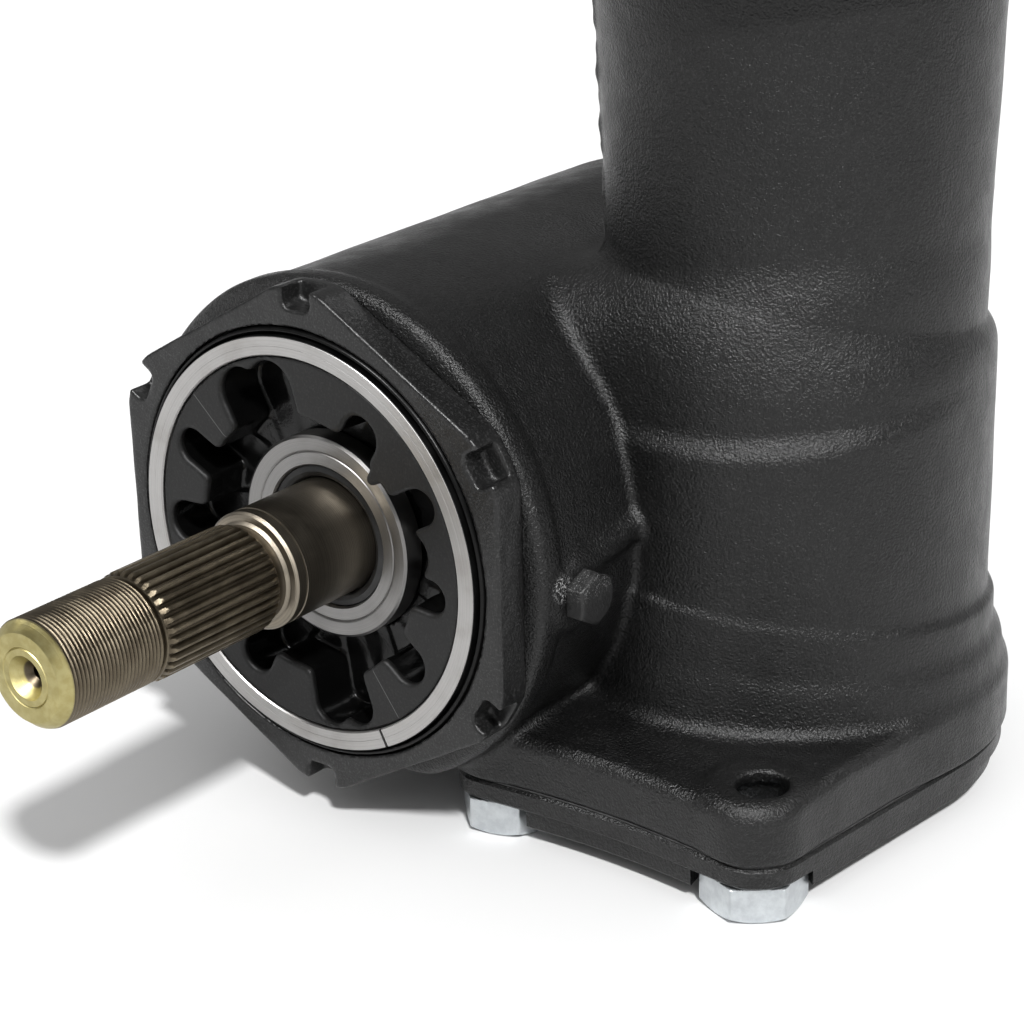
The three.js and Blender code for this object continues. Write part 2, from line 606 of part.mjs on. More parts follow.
function outputGear() {
  const shape = gearOutline(SPUR.module, SPUR.wheelTeeth, Math.PI / SPUR.wheelTeeth);
  const bore = turnedY(discProfile(OUTPUT.gearSeat + RUNNING_GAP, [0, SPUR.y[1] + CUT]), SHAFT_ROUND);
  const [inner, outer] = WHEEL_RECESS.radius;
  const recessY = [SPUR.y[0] - CUT, SPUR.y[0] + WHEEL_RECESS.depth];
  const recess = turnedY(ringProfile(inner, outer, recessY), SHAFT_ROUND);
  const solid = toSolid(prismY(shape, SPUR.y)).subtract(toSolid(bore)).subtract(toSolid(recess));
  return toGeometry(solid.subtract(toSolid(keyway(2 * SPUR.y[1]))));
}

function gearKey() {
  const length = SPUR.y[1] - SPUR.y[0] - 0.8;
  const key = new THREE.BoxGeometry(GEAR_KEY.width, length, GEAR_KEY.height);
  return key.translate(0, (SPUR.y[0] + SPUR.y[1]) / 2, OUTPUT.gearSeat + 0.2);
}

function lockNut({ bore, radius, thickness }, low) {
  const high = low + thickness;
  const solid = toSolid(prismY(hexagon(2 * radius), [low, high]));
  const hole = turnedY(discProfile(bore, [low - CUT, high + CUT]), SHAFT_ROUND);
  return toGeometry(solid.subtract(toSolid(hole)));
}

function rearCover() {
  const { radius, pitch, thickness, cup, cupDepth, wall } = REAR_COVER;
  const [low, high] = [BACK_FACE_Y + RUNNING_GAP, BACK_FACE_Y + RUNNING_GAP + thickness];
  const cupEnd = low + cupDepth;
  const profile = [[0, cupEnd - wall], [cup + 2 - wall, cupEnd - wall], [cup + 2 - wall, low], [radius, low],
    [radius, high - EDGE], [radius - EDGE, high], [cup + 4, high], [cup + 2, cupEnd], [0, cupEnd]];
  let solid = toSolid(turnedY(profile, SHAFT_ROUND));
  for (const [x, z] of boltCircle(4, pitch, Math.PI / 4)) {
    const hole = turnedY(discProfile(M6.radius + RUNNING_GAP, [low - CUT, high + CUT]), BOLT_ROUND);
    solid = solid.subtract(toSolid(hole.translate(x, 0, z)));
  }
  return toGeometry(solid);
}

function backScrews(prefix, pitch, faceY) {
  return boltCircle(4, pitch, Math.PI / 4).map(([x, z], k) => {
    const screw = hexScrew(M6.flats, M6.head, M6.radius, M6.length).rotateX(Math.PI / 2);
    const mesh = piece(`${prefix}_${k + 1}`, screw, MATERIALS.zinc);
    mesh.position.set(x, faceY, z);
    return mesh;
  });
}

function outputLine() {
  const journalBore = OUTPUT.journal + RUNNING_GAP;
  const line = new THREE.Group();
  line.position.set(-CENTRE_DISTANCE, 0, AXIS_HEIGHT);
  const frontBearing = bearing('output_front', BEARING_40, false);
  frontBearing.position.y = FRONT_BEARING_Y;
  const rearBearing = bearing('output_rear', BEARING_40, true);
  rearBearing.position.y = REAR_BEARING_Y;
  const spacerY = [SPUR.y[1] + RUNNING_GAP, REAR_BEARING_Y - RUNNING_GAP];
  const spacer = ringProfile(journalBore, OUTPUT.gearSeat + 1, spacerY);
  const sealCase = ringProfile(SEAL.lip, SEAL.case, SEAL.y);
  const sealLip = ringProfile(journalBore, SEAL.lip - RUNNING_GAP, SEAL.lipY);
  const screwFaceY = BACK_FACE_Y + 2 * RUNNING_GAP + REAR_COVER.thickness;
  line.add(
    piece('hex_adjuster_ring', hexRing(), MATERIALS.castPaint),
    piece('pilot_ring', pilotRing(), MATERIALS.machined),
    piece('pilot_o_ring', turnedY(ringProfile(PILOT_SEAL.inner, PILOT_SEAL.outer, PILOT_SEAL.y)),
      MATERIALS.rubber),
    piece('bearing_carrier', bearingCarrier(), MATERIALS.castPaint),
    piece('output_seal_case', turnedY(sealCase, SHAFT_ROUND), MATERIALS.machined),
    piece('output_seal_lip', turnedY(sealLip, SHAFT_ROUND), MATERIALS.rubber),
    frontBearing,
    piece('output_shaft', outputShaft(), MATERIALS.shaftSteel),
    piece('output_gear', outputGear(), MATERIALS.gearSteel),
    piece('output_gear_key', gearKey(), MATERIALS.gearSteel),
    piece('output_spacer', turnedY(spacer, SHAFT_ROUND), MATERIALS.gearSteel),
    rearBearing,
    piece('output_lock_nut', lockNut(OUTPUT_NUT, REAR_BEARING_Y + BEARING_40.width + 1), MATERIALS.gearSteel),
    piece('output_rear_cover', rearCover(), MATERIALS.castPaint),
    ...backScrews('output_cover_screw', REAR_COVER.pitch, screwFaceY),
  );
  return line;
}

// ---------------------------------------------------------------- middle line, around the middle axis

function middleShaft() {
  const { bore } = BEARING_30;
  const { shoulder, shoulderY, pinionBore } = MIDDLE;
  const frontY = MID_FRONT_BEARING_Y + 0.5;
  const backY = MID_REAR_BEARING_Y + BEARING_30.width;
  return turnedY([[0, frontY], [bore, frontY], [bore, shoulderY - 2], [shoulder, shoulderY],
    [shoulder, SPUR.y[0] - RUNNING_GAP], [pinionBore, SPUR.y[0] - RUNNING_GAP],
    [pinionBore, SPUR.y[1]], [bore, SPUR.y[1]], [bore, backY], [0, backY]], SHAFT_ROUND);
}

function spurPinion() {
  const teeth = toSolid(prismY(gearOutline(SPUR.module, SPUR.pinionTeeth, Math.PI), SPUR.y));
  const boreY = [SPUR.y[0] - CUT, SPUR.y[1] + CUT];
  const bore = turnedY(discProfile(MIDDLE.pinionBore + RUNNING_GAP, boreY), SHAFT_ROUND);
  return toGeometry(teeth.subtract(toSolid(bore)));
}

function bevelWheel() {
  const phase = Math.PI / 2 + Math.PI / BEVEL.wheelTeeth;
  const bore = BEARING_30.bore + RUNNING_GAP;
  const gear = bevelGear(BEVEL.wheelTeeth, BEVEL.pinionTeeth, phase, bore, BEVEL_HUB.wheel);
  return gear.rotateZ(Math.PI);
}

// A pressed-in end cap with a raised rim.
function middleCap() {
  const { radius, thickness, rim, recess } = MID_CAP;
  const face = MID_REAR_BEARING_Y + BEARING_30.width + RUNNING_GAP;
  const back = face + thickness;
  return turnedY([[0, face], [radius, face], [radius, back], [rim, back], [rim - 2, back - recess],
    [0, back - recess]], SHAFT_ROUND);
}

function middleLine() {
  const line = new THREE.Group();
  line.position.set(0, 0, AXIS_HEIGHT);
  const frontBearing = bearing('middle_front', BEARING_30, false);
  frontBearing.position.y = MID_FRONT_BEARING_Y;
  const rearBearing = bearing('middle_rear', BEARING_30, true);
  rearBearing.position.y = MID_REAR_BEARING_Y;
  line.add(
    frontBearing,
    piece('middle_shaft', middleShaft(), MATERIALS.gearSteel),
    piece('spur_pinion', spurPinion(), MATERIALS.gearSteel),
    piece('bevel_wheel', bevelWheel(), MATERIALS.gearSteel),
    rearBearing,
    piece('middle_end_cap', middleCap(), MATERIALS.castPaint),
  );
  return line;
}

// ---------------------------------------------------------------- input line, around the input axis

function inputShaft() {
  const pinionTop = AXIS_HEIGHT + BEVEL.module * BEVEL.wheelTeeth / 2;
  const pinion = bevelGear(BEVEL.pinionTeeth, BEVEL.wheelTeeth, 0, BEVEL_HUB.pinionBore, BEVEL_HUB.pinion);
  pinion.rotateX(Math.PI / 2).translate(0, 0, AXIS_HEIGHT);
  const { collar, seat, middle, sealed, stub, stubZ, top } = INPUT;
  const lowerStop = LOWER_BEARING_Z - RUNNING_GAP;
  const lowerEnd = LOWER_BEARING_Z + BEARING_40.width;
  const upperEnd = UPPER_BEARING_Z + BEARING_40.width;
  const shaft = turnedZ([[0, pinionTop - 13.4], [12, pinionTop - 10], [20, pinionTop + 1],
    [collar, pinionTop + 3], [collar, lowerStop], [seat, lowerStop], [seat, lowerEnd + 0.4],
    [middle, lowerEnd + 5], [middle, UPPER_BEARING_Z - 5], [seat, UPPER_BEARING_Z - 0.5],
    [seat, upperEnd + 0.5], [sealed, upperEnd + 0.5], [sealed, stubZ - 1], [stub, stubZ],
    [stub, top - 2], [stub - 2, top], [0, top]], SHAFT_ROUND);
  const { width, height, length } = INPUT_KEY;
  const slotSize = [width, height, length].map((side) => side + 2 * RUNNING_GAP);
  const slot = new THREE.BoxGeometry(...slotSize).translate(0, -stub, top - INPUT_KEY.drop);
  return toGeometry(joined(pinion, shaft).subtract(toSolid(slot)));
}

function inputCover() {
  const { radius, pitch, thickness, spigot, spigotZ, boss, seal } = INPUT_COVER;
  const face = TOP_FLANGE.z[1] + RUNNING_GAP;
  const top = face + thickness;
  const cupBore = clearing(BEARING_40.outer, ROUND);
  const upperEnd = UPPER_BEARING_Z + BEARING_40.width + RUNNING_GAP;
  const profile = [[cupBore, spigotZ], [spigot, spigotZ], [spigot, face], [radius, face],
    [radius, top - EDGE], [radius - EDGE, top], [boss + 2, top], [boss, top + 4], [seal, top + 4],
    [seal, face + 3], [25, face + 3], [25, upperEnd], [cupBore, upperEnd], [cupBore, spigotZ]];
  let solid = toSolid(turnedZ(profile));
  for (const [x, y] of boltCircle(4, pitch, Math.PI / 4)) {
    const hole = turnedZ(discProfile(M8.radius + RUNNING_GAP, [face - CUT, top + CUT]), BOLT_ROUND);
    solid = solid.subtract(toSolid(hole.translate(x, y, 0)));
  }
  return toGeometry(solid);
}

function inputSeal() {
  const face = TOP_FLANGE.z[1] + RUNNING_GAP;
  const levels = [face + 3 + RUNNING_GAP, face + INPUT_COVER.thickness + 2];
  const profile = ringProfile(INPUT.sealed + RUNNING_GAP, INPUT_COVER.seal - RUNNING_GAP, levels);
  return turnedZ(profile, SHAFT_ROUND);
}

function inputKey() {
  const { width, height, length, drop } = INPUT_KEY;
  return new THREE.BoxGeometry(width, height, length).translate(0, -INPUT.stub, INPUT.top - drop);
}

function inputCoverScrews() {
  const seatZ = TOP_FLANGE.z[1] + INPUT_COVER.thickness + 2 * RUNNING_GAP;
  return boltCircle(4, INPUT_COVER.pitch, Math.PI / 4).map(([x, y], k) => {
    const screw = hexScrew(M8.flats, M8.head, M8.radius, M8.length).rotateX(Math.PI);
    const mesh = piece(`input_cover_screw_${k + 1}`, screw, MATERIALS.zinc);
    mesh.position.set(x, y, seatZ);
    return mesh;
  });
}

function inputLine() {
  const line = new THREE.Group();
  const lower = bearing('input_lower', BEARING_40, false);
  lower.rotation.x = Math.PI / 2;
  lower.position.z = LOWER_BEARING_Z;
  const upper = bearing('input_upper', BEARING_40, true);
  upper.rotation.x = Math.PI / 2;
  upper.position.z = UPPER_BEARING_Z;
  const nut = lockNut(INPUT_NUT, UPPER_BEARING_Z + BEARING_40.width + 1).rotateX(Math.PI / 2);
  line.add(
    piece('input_pinion_shaft', inputShaft(), MATERIALS.shaftSteel),
    lower,
    upper,
    piece('input_lock_nut', nut, MATERIALS.gearSteel),
    piece('input_cover', inputCover(), MATERIALS.castPaint),
    piece('input_seal', inputSeal(), MATERIALS.rubber),
    piece('input_key', inputKey(), MATERIALS.gearSteel),
    ...inputCoverScrews(),
  );
  return line;
}

// ---------------------------------------------------------------- base and plugs

function levelPlug() {
  const screw = hexScrew(LEVEL_PLUG.flats, LEVEL_PLUG.head, LEVEL_PLUG.thread, LEVEL_PLUG.length);
  const mesh = piece('level_plug', screw.rotateY(-Math.PI / 2), MATERIALS.castPaint);
  mesh.position.set(SIDE_LUG.x + RUNNING_GAP, SIDE_LUG.y, SIDE_LUG.z);
  return mesh;
}

function drainPlug() {
  const body = toSolid(turnedZ(discProfile(DRAIN_PLUG.radius, DRAIN_PLUG.z), SMALL_ROUND));
  const socket = prismZ(hexagon(DRAIN_PLUG.socket), [-CUT, DRAIN_PLUG.socketTop]);
  const mesh = piece('drain_plug', toGeometry(body.subtract(toSolid(socket))), MATERIALS.zinc);
  mesh.position.set(DRAIN_PLUG.x, DRAIN_PLUG.y, 0);
  return mesh;
}

function baseBolts() {
  return BASE_BOLTS.map(([x, y], k) => {
    const screw = hexScrew(M20.flats, M20.head, M20.radius, M20.tip - SEAT_Z);
    const mesh = piece(`base_bolt_${k + 1}`, screw, MATERIALS.zinc);
    mesh.position.set(x, y, SEAT_Z - RUNNING_GAP);
    return mesh;
  });
}

const gearbox = new THREE.Group();
gearbox.add(
  piece('housing', housing(), MATERIALS.castPaint),
  piece('bottom_cover', bottomCover(), MATERIALS.castPaint),
  piece('bottom_gasket', bottomGasket(), MATERIALS.gasket),
  ...baseBolts(),
  levelPlug(),
  drainPlug(),
  outputLine(),
  middleLine(),
  inputLine(),
);

export default gearbox;
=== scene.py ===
"""A right angle gearbox: fine cast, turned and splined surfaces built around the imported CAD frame.

Shapes are worked out in millimetres in the part's own frame and turned into metres when a mesh is made.
Cast and forged pieces are signed distance fields: a field is negative inside the piece.
"""
import json
import math

import bpy
import numpy as np
from mathutils import Matrix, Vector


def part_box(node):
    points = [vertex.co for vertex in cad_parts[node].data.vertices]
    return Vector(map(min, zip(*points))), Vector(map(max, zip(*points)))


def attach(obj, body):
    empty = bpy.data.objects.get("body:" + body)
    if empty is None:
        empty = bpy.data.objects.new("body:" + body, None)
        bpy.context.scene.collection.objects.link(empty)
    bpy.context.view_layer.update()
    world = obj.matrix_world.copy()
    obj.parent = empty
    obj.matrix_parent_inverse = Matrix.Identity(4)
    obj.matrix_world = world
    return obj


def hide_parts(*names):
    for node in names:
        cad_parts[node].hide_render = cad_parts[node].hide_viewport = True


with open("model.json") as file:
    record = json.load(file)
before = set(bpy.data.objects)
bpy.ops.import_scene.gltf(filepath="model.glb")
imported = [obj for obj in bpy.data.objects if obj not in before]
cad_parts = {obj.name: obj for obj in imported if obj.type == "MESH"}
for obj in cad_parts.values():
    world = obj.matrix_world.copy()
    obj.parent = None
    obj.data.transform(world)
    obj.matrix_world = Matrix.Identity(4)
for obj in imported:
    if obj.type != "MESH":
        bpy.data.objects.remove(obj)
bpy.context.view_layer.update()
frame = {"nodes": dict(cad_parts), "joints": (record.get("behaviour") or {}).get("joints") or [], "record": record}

MM = 0.001
CASE = "gearbox_case"


# ---------------------------------------------------------------- places taken from the frame

def box_mm(node):
    low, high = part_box(node)
    return np.array(low) / MM, np.array(high) / MM


def middle(node):
    low, high = box_mm(node)
    return (low + high) / 2


JOINT_PLACES = {joint["name"]: np.array(joint["pos_m"]) / MM for joint in frame["joints"]}
OUT_X, _, OUT_Z = JOINT_PLACES["output_spin"]
HOUSING_LOW, HOUSING_HIGH = box_mm("housing")
RING_LOW, RING_HIGH = box_mm("hex_adjuster_ring")
PILOT_LOW, PILOT_HIGH = box_mm("pilot_ring")
CARRIER_LOW, CARRIER_HIGH = box_mm("bearing_carrier")
SHAFT_LOW, SHAFT_HIGH = box_mm("output_shaft")
COVER_LOW, COVER_HIGH = box_mm("bottom_cover")
GASKET_LOW, GASKET_HIGH = box_mm("bottom_gasket")
BASE_Z = GASKET_HIGH[2] + 0.2
TOP_Z = HOUSING_HIGH[2]
FACE_Y = PILOT_LOW[1]
FLOOR_Z = box_mm("base_bolt_1")[0][2]
BOLTS = [middle(f"base_bolt_{k}")[:2] for k in range(1, 5)]
PLUG = middle("level_plug")
PLUG_FACE_X = box_mm("level_plug")[1][0]
PLUG_FLATS = min((box_mm("level_plug")[1] - box_mm("level_plug")[0])[1:])

# Camera: place in metres, view angles in degrees
CAMERA_PLACE = (0.475677, -0.739870, 0.442080)
CAMERA_AZIMUTH = 38.913
CAMERA_ELEVATION = 22.016
CAMERA_ROLL = -1.545
LENS = 98.44

# Clearance between fitted pieces
GAP = 0.3

# Column: a tube above a wider body; the SIDE angles say which way a feature faces, in degrees
BODY_RADIUS = 65.6
BODY_BULGE = 2.2
TUBE_RADIUS = 60.9
TUBE_TAPER = 0.038
TUBE_FOOT_Z = 155
TUBE_SETBACK = 5.5
SETBACK_SIDE = -70
SHOULDER_SIDE = -105
SHOULDER_TOP = (156, 179)
SHOULDER_BOTTOM = (148, 134)
SHOULDER_CURVE = 2.9
SECOND_STEP = 4.2
SECOND_STEP_HEIGHT = 9
SEAM_SIDES = (-142, 38)
SEAM_START_Z = 165
TOP_FLANGE_RADIUS = 80
TOP_FLANGE_DEPTH = 14
STEP_RADIUS = (67.6, 73.1)
STEP_TOP = (62, 79)
FOOT_BULGE = 3
FOOT_TOP = (50, 58)

# Chamber between column and boss: each end is (x, y, radius)
CHAMBER_LEFT = (-64, 0, 68)
CHAMBER_RIGHT = (-4, 0, 64)
CHAMBER_TOP = 191
CHAMBER_FALL = 0.26
CHAMBER_ROUNDING = 32

# Base, ledge and boss
BASE_RADIUS = 72.4
LOBE_RADIUS = 17.5
HOLLOW_DEPTH = 4
OUTLINE_CENTRE = (-6, -12)
OUTLINE_REACH = 150.0
OUTLINE_POINTS = 480
LEDGE_Y = (-107, -70)
LEDGE_Z = (34, 37.5)
PAD_Z = 36.5
BOSS_RADIUS = 85
BOSS_FRONT_Y = RING_HIGH[1] + GAP
BOSS_BACK_Y = 65
REAR_BOSS_RADIUS = 58
REAR_BOSS_BACK_Y = HOUSING_HIGH[1] - 19.5
MIDDLE_BOSS_RADIUS = 36
COLLAR_RADIUS = 86.2
COLLAR_LENGTH = 10
SPIGOT_RADIUS = 76.4
SPIGOT_LENGTH = 7
PLUG_HEAD = 7
PLUG_LUG_RADIUS = 11.5
PLUG_LUG_FACE_X = PLUG_FACE_X - PLUG_HEAD - GAP

# Insides of the housing: bores by radius
COLUMN_BORE = 57.5
TUBE_BORE = 50
BOSS_BORE = 70
MIDDLE_BORE = 44
MIDDLE_CUP_BORE = 31.6
CUP_BORE = 34.8

# Base bolts: their heads start at the first turn and go on by the second, in degrees
BOLT_FLATS = 30
BOLT_HEAD = 12.5
BOLT_SHANK = 9.8
BOLT_HOLE = 10.2
BOLT_SHORT = 12
BOLT_TURN = (-37, 23)

# Front rings and shaft: the notch is (half width, depth, length), the split (angle, width)
HEX_APOTHEM = RING_HIGH[0] - OUT_X
HEX_CORNER = RING_HIGH[2] - OUT_Z
HEX_NOTCH = (5.8, 7.2, 9)
PILOT_OUTER = PILOT_HIGH[2] - OUT_Z
PILOT_INNER = 63.9
PILOT_SPLIT = (-63, 1.2)
SPLINE_TEETH = 33
SPLINE_TIP = 18
SPLINE_ROOT = 16.4
SPLINE_START_Y = SHAFT_LOW[1] + 42.2
SPLINE_END_Y = SHAFT_LOW[1] + 91
THREAD_TIP = 17.45
THREAD_DEPTH = 0.42
THREAD_PITCH = 1.5
JOURNAL = 19.7
SEAL_BORE = 24.25

# Lobes cut outward from the bearing carrier's well: angle in degrees, outer radius, half width
CARRIER_LOBES = [
    (184, 61, 7), (153.5, 60, 6.2), (117.5, 62, 9.5), (103, 62, 9.5), (59.5, 56.5, 7), (26.5, 60.5, 6.2),
    (10, 52, 8.5), (-5.5, 58, 5.8), (-36.5, 58.5, 7), (-70.5, 62, 7), (-82.5, 62, 7), (-119, 57, 6.5),
    (-150, 60, 6.5),
]
CARRIER_WELL = 44.5
CARRIER_FLOOR_Y = -115
CARRIER_TOOTH_SIDE = 45
CARRIER_HAIRLINES = (137, -54)

HOUSING_VOXEL = 1.35
COVER_VOXEL = 0.9
RING_VOXEL = 0.8
INPUT_COVER_VOXEL = 1.2
BOLT_VOXEL = 0.6
PLUG_VOXEL = 0.45

# Stage: each light is (name, azimuth, elevation, strength, width, lights surfaces, shows in reflections)
LIGHTS = [
    ("key_light", -39, 47, 2.95, 5, True, True),
    ("front_softbox", -98, 54, 3.4, 15, False, True),
    ("back_softbox", 78, 42, 0.5, 26, False, True),
    ("fill_light", 0, 90, 0.9, 120, True, False),
]
WORLD_STRENGTH = 0.25
FLOOR_SIZE = 200
FLOOR_SHADE = 0.93


# ---------------------------------------------------------------- signed distance fields

def meet(a, b, edge=0.0):
    """What is inside both fields, with its outer edge rounded."""
    a = a + edge
    b = b + edge
    outside = np.hypot(np.maximum(a, 0), np.maximum(b, 0))
    return np.minimum(np.maximum(a, b), 0) + outside - edge


def weld(a, b, fillet):
    """Either field, with a smooth fillet where they join."""
    share = np.clip(0.5 + 0.5 * (b - a) / fillet, 0, 1)
    return b + (a - b) * share - fillet * share * (1 - share)


def carve(a, b, fillet=0.6):
    """The first field without the second, with a softened rim."""
    return -weld(-a, b, fillet)


def slab(value, low, high):
    return np.abs(value - (low + high) / 2) - (high - low) / 2


def drum(distance, radius, along, low, high, edge=0.0):
    """A round piece: distance from its axis, then its span along the axis."""
    return meet(distance - radius, slab(along, low, high), edge)


def sausage(x, y, a, b, radius_a, radius_b):
    """Two circles in the plane and the band stretched round them."""
    bx, by = b[0] - a[0], b[1] - a[1]
    length_squared = bx * bx + by * by
    qx = np.abs((x - a[0]) * by - (y - a[1]) * bx) / length_squared
    qy = ((x - a[0]) * bx + (y - a[1]) * by) / length_squared
    drop = radius_a - radius_b
    run = math.sqrt(length_squared - drop * drop)
    cross = run * qy - drop * qx
    along = run * qx + drop * qy
    size = qx * qx + qy * qy
    near_a = np.sqrt(length_squared * size) - radius_a
    near_b = np.sqrt(np.maximum(length_squared * (size + 1 - 2 * qy), 0)) - radius_b
    return np.where(cross < 0, near_a, np.where(cross > run, near_b, along - radius_a))


def rod(x, y, z, start, end, radius):
    """A round rod with round ends."""
    direction = np.array(end, float) - start
    share = (x - start[0]) * direction[0] + (y - start[1]) * direction[1] + (z - start[2]) * direction[2]
    share = np.clip(share / direction.dot(direction), 0, 1)
    dx, dy, dz = (p - s - share * d for p, s, d in zip((x, y, z), start, direction))
    return np.sqrt(dx * dx + dy * dy + dz * dz) - radius


def hexagon(u, v, apothem, first_normal=0.0):
    """A hexagon with flats at first_normal, in degrees, and every 60 degrees from it."""
    turns = [math.radians(first_normal + step) for step in (0, 60, 120)]
    return np.maximum.reduce([np.abs(u * math.cos(t) + v * math.sin(t)) for t in turns]) - apothem


def lumps(x, y, z, size):
    """Gentle casting unevenness between about -1 and 1."""
    waves = np.sin(x / size + 1.3 * np.sin(z / (1.7 * size))) * np.sin(y / (0.9 * size) + np.sin(x / size))
    return waves + 0.7 * np.sin(z / (0.8 * size) + 1.7 * np.sin(y / (1.3 * size)) + x / (2.1 * size))


def outward_from_output(angle):
    """A unit step out from the output axis, in (x, z), at an angle in degrees."""
    return np.array([math.cos(math.radians(angle)), math.sin(math.radians(angle))])


def from_output_axis(x, z):
    return np.hypot(x - OUT_X, z - OUT_Z)


# ---------------------------------------------------------------- meshes from fields

def surface_net(field, low, high, voxel):
    """Vertices and quads of a field's surface, in millimetres."""
    axes = [np.arange(a - 2 * voxel, b + 3 * voxel, voxel) for a, b in zip(low, high)]
    shape = tuple(len(axis) for axis in axes)
    values = np.broadcast_to(field(*np.ix_(*axes)), shape)
    cell_ids, crossings, rings = [], [], []
    for axis in range(3):
        near = np.take(values, range(shape[axis] - 1), axis)
        far = np.take(values, range(1, shape[axis]), axis)
        hits = np.argwhere((near < 0) != (far < 0))
        near, far = near[tuple(hits.T)], far[tuple(hits.T)]
        points = hits.astype(float)
        points[:, axis] += near / (near - far)
        corners = []
        for back_u, back_v in ((1, 1), (0, 1), (0, 0), (1, 0)):
            cell = hits.copy()
            cell[:, (axis + 1) % 3] -= back_u
            cell[:, (axis + 2) % 3] -= back_v
            corners.append(np.ravel_multi_index(cell.T, shape))
        ring = np.stack(corners, axis=1)
        ring[near >= 0] = ring[near >= 0][:, ::-1]
        rings.append(ring)
        cell_ids.append(ring.ravel())
        crossings.append(np.repeat(points, 4, axis=0))
    used, index = np.unique(np.concatenate(cell_ids), return_inverse=True)
    index = index.ravel()
    counts = np.bincount(index)
    crossings = np.concatenate(crossings)
    grid = np.stack([np.bincount(index, crossings[:, k]) / counts for k in range(3)], axis=1)
    vertices = grid * voxel + np.array([axis[0] for axis in axes])
    quads = np.searchsorted(used, np.concatenate(rings))
    return settled(field, vertices, voxel), quads


def settled(field, vertices, voxel):
    """Moves each vertex onto the field's surface."""
    step = 0.2 * voxel
    for _ in range(2):
        x, y, z = vertices.T
        value = field(x, y, z)
        slope = np.stack([
            field(x + step, y, z) - field(x - step, y, z),
            field(x, y + step, z) - field(x, y - step, z),
            field(x, y, z + step) - field(x, y, z - step),
        ], axis=1) / (2 * step)
        steepness = np.maximum((slope ** 2).sum(axis=1), 0.3)
        shift = np.clip(value / steepness, -0.5 * voxel, 0.5 * voxel)
        vertices = vertices - slope * shift[:, None]
    return vertices


def new_object(name, vertices, faces, sharp_angle):
    """An object from vertices in millimetres, shaded smooth except where it turns by more than the angle."""
    mesh = bpy.data.meshes.new(name)
    mesh.from_pydata((np.asarray(vertices) * MM).tolist(), [], faces)
    mesh.polygons.foreach_set("use_smooth", [True] * len(mesh.polygons))
    mesh.set_sharp_from_angle(angle=math.radians(sharp_angle))
    obj = bpy.data.objects.new(name, mesh)
    bpy.context.collection.objects.link(obj)
    return obj


def cast_piece(name, field, low, high, voxel, sharp_angle=50):
    """An object from a field, sampled between two corners."""
    vertices, quads = surface_net(field, low, high, voxel)
    return new_object(name, vertices, quads.tolist(), sharp_angle)


def settle_piece(obj, node, material, body=CASE):
    """Gives a piece its material, hangs it on the body it rides on and hides the CAD node it stands for."""
    obj.data.materials.append(material)
    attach(obj, body)
    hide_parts(node)


# ---------------------------------------------------------------- turned pieces

def grid_quads(rows, columns, flip=True, closed_rows=False, closed_columns=True):
    """Quads between the neighbours of a grid of vertices, whose last row or column may join the first."""
    row, column = np.meshgrid(np.arange(rows if closed_rows else rows - 1),
                              np.arange(columns if closed_columns else columns - 1), indexing="ij")
    below = (row + 1) % rows
    following = (column + 1) % columns
    quads = np.stack([row * columns + column, row * columns + following,
                      below * columns + following, below * columns + column], axis=2).reshape(-1, 4)
    return (quads[:, ::-1] if flip else quads).tolist()


def turned_points(radii, heights, angles):
    """Points round the output axis: one row for each height, one column for each angle."""
    u = radii * np.cos(angles) + OUT_X
    v = radii * np.sin(angles) + OUT_Z
    along = np.broadcast_to(np.asarray(heights, float)[:, None], u.shape)
    return np.stack([u, along, v], axis=2).reshape(-1, 3)


def full_turn(columns):
    return np.arange(columns) * 2 * math.pi / columns


def turned_piece(name, profile, columns=160, gap=None, sharp_angle=30):
    """A ring or disc turned about the output axis from [radius, height] points that close on themselves.

    gap, if given, is (middle angle, width) of a cut across the ring, in degrees and millimetres.
    """
    profile = np.array(profile, float)
    rows = len(profile)
    angles = full_turn(columns)
    if gap is not None:
        half = gap[1] / 2 / profile[:, 0].max()
        start = math.radians(gap[0])
        angles = np.linspace(start + half, start + 2 * math.pi - half, columns)
    points = turned_points(profile[:, 0, None], profile[:, 1], angles)
    faces = grid_quads(rows, columns, closed_rows=True, closed_columns=gap is None)
    if gap is not None:
        faces.append([row * columns for row in range(rows)])
        faces.append([row * columns + columns - 1 for row in reversed(range(rows))])
    return new_object(name, points, faces, sharp_angle)


# ---------------------------------------------------------------- materials

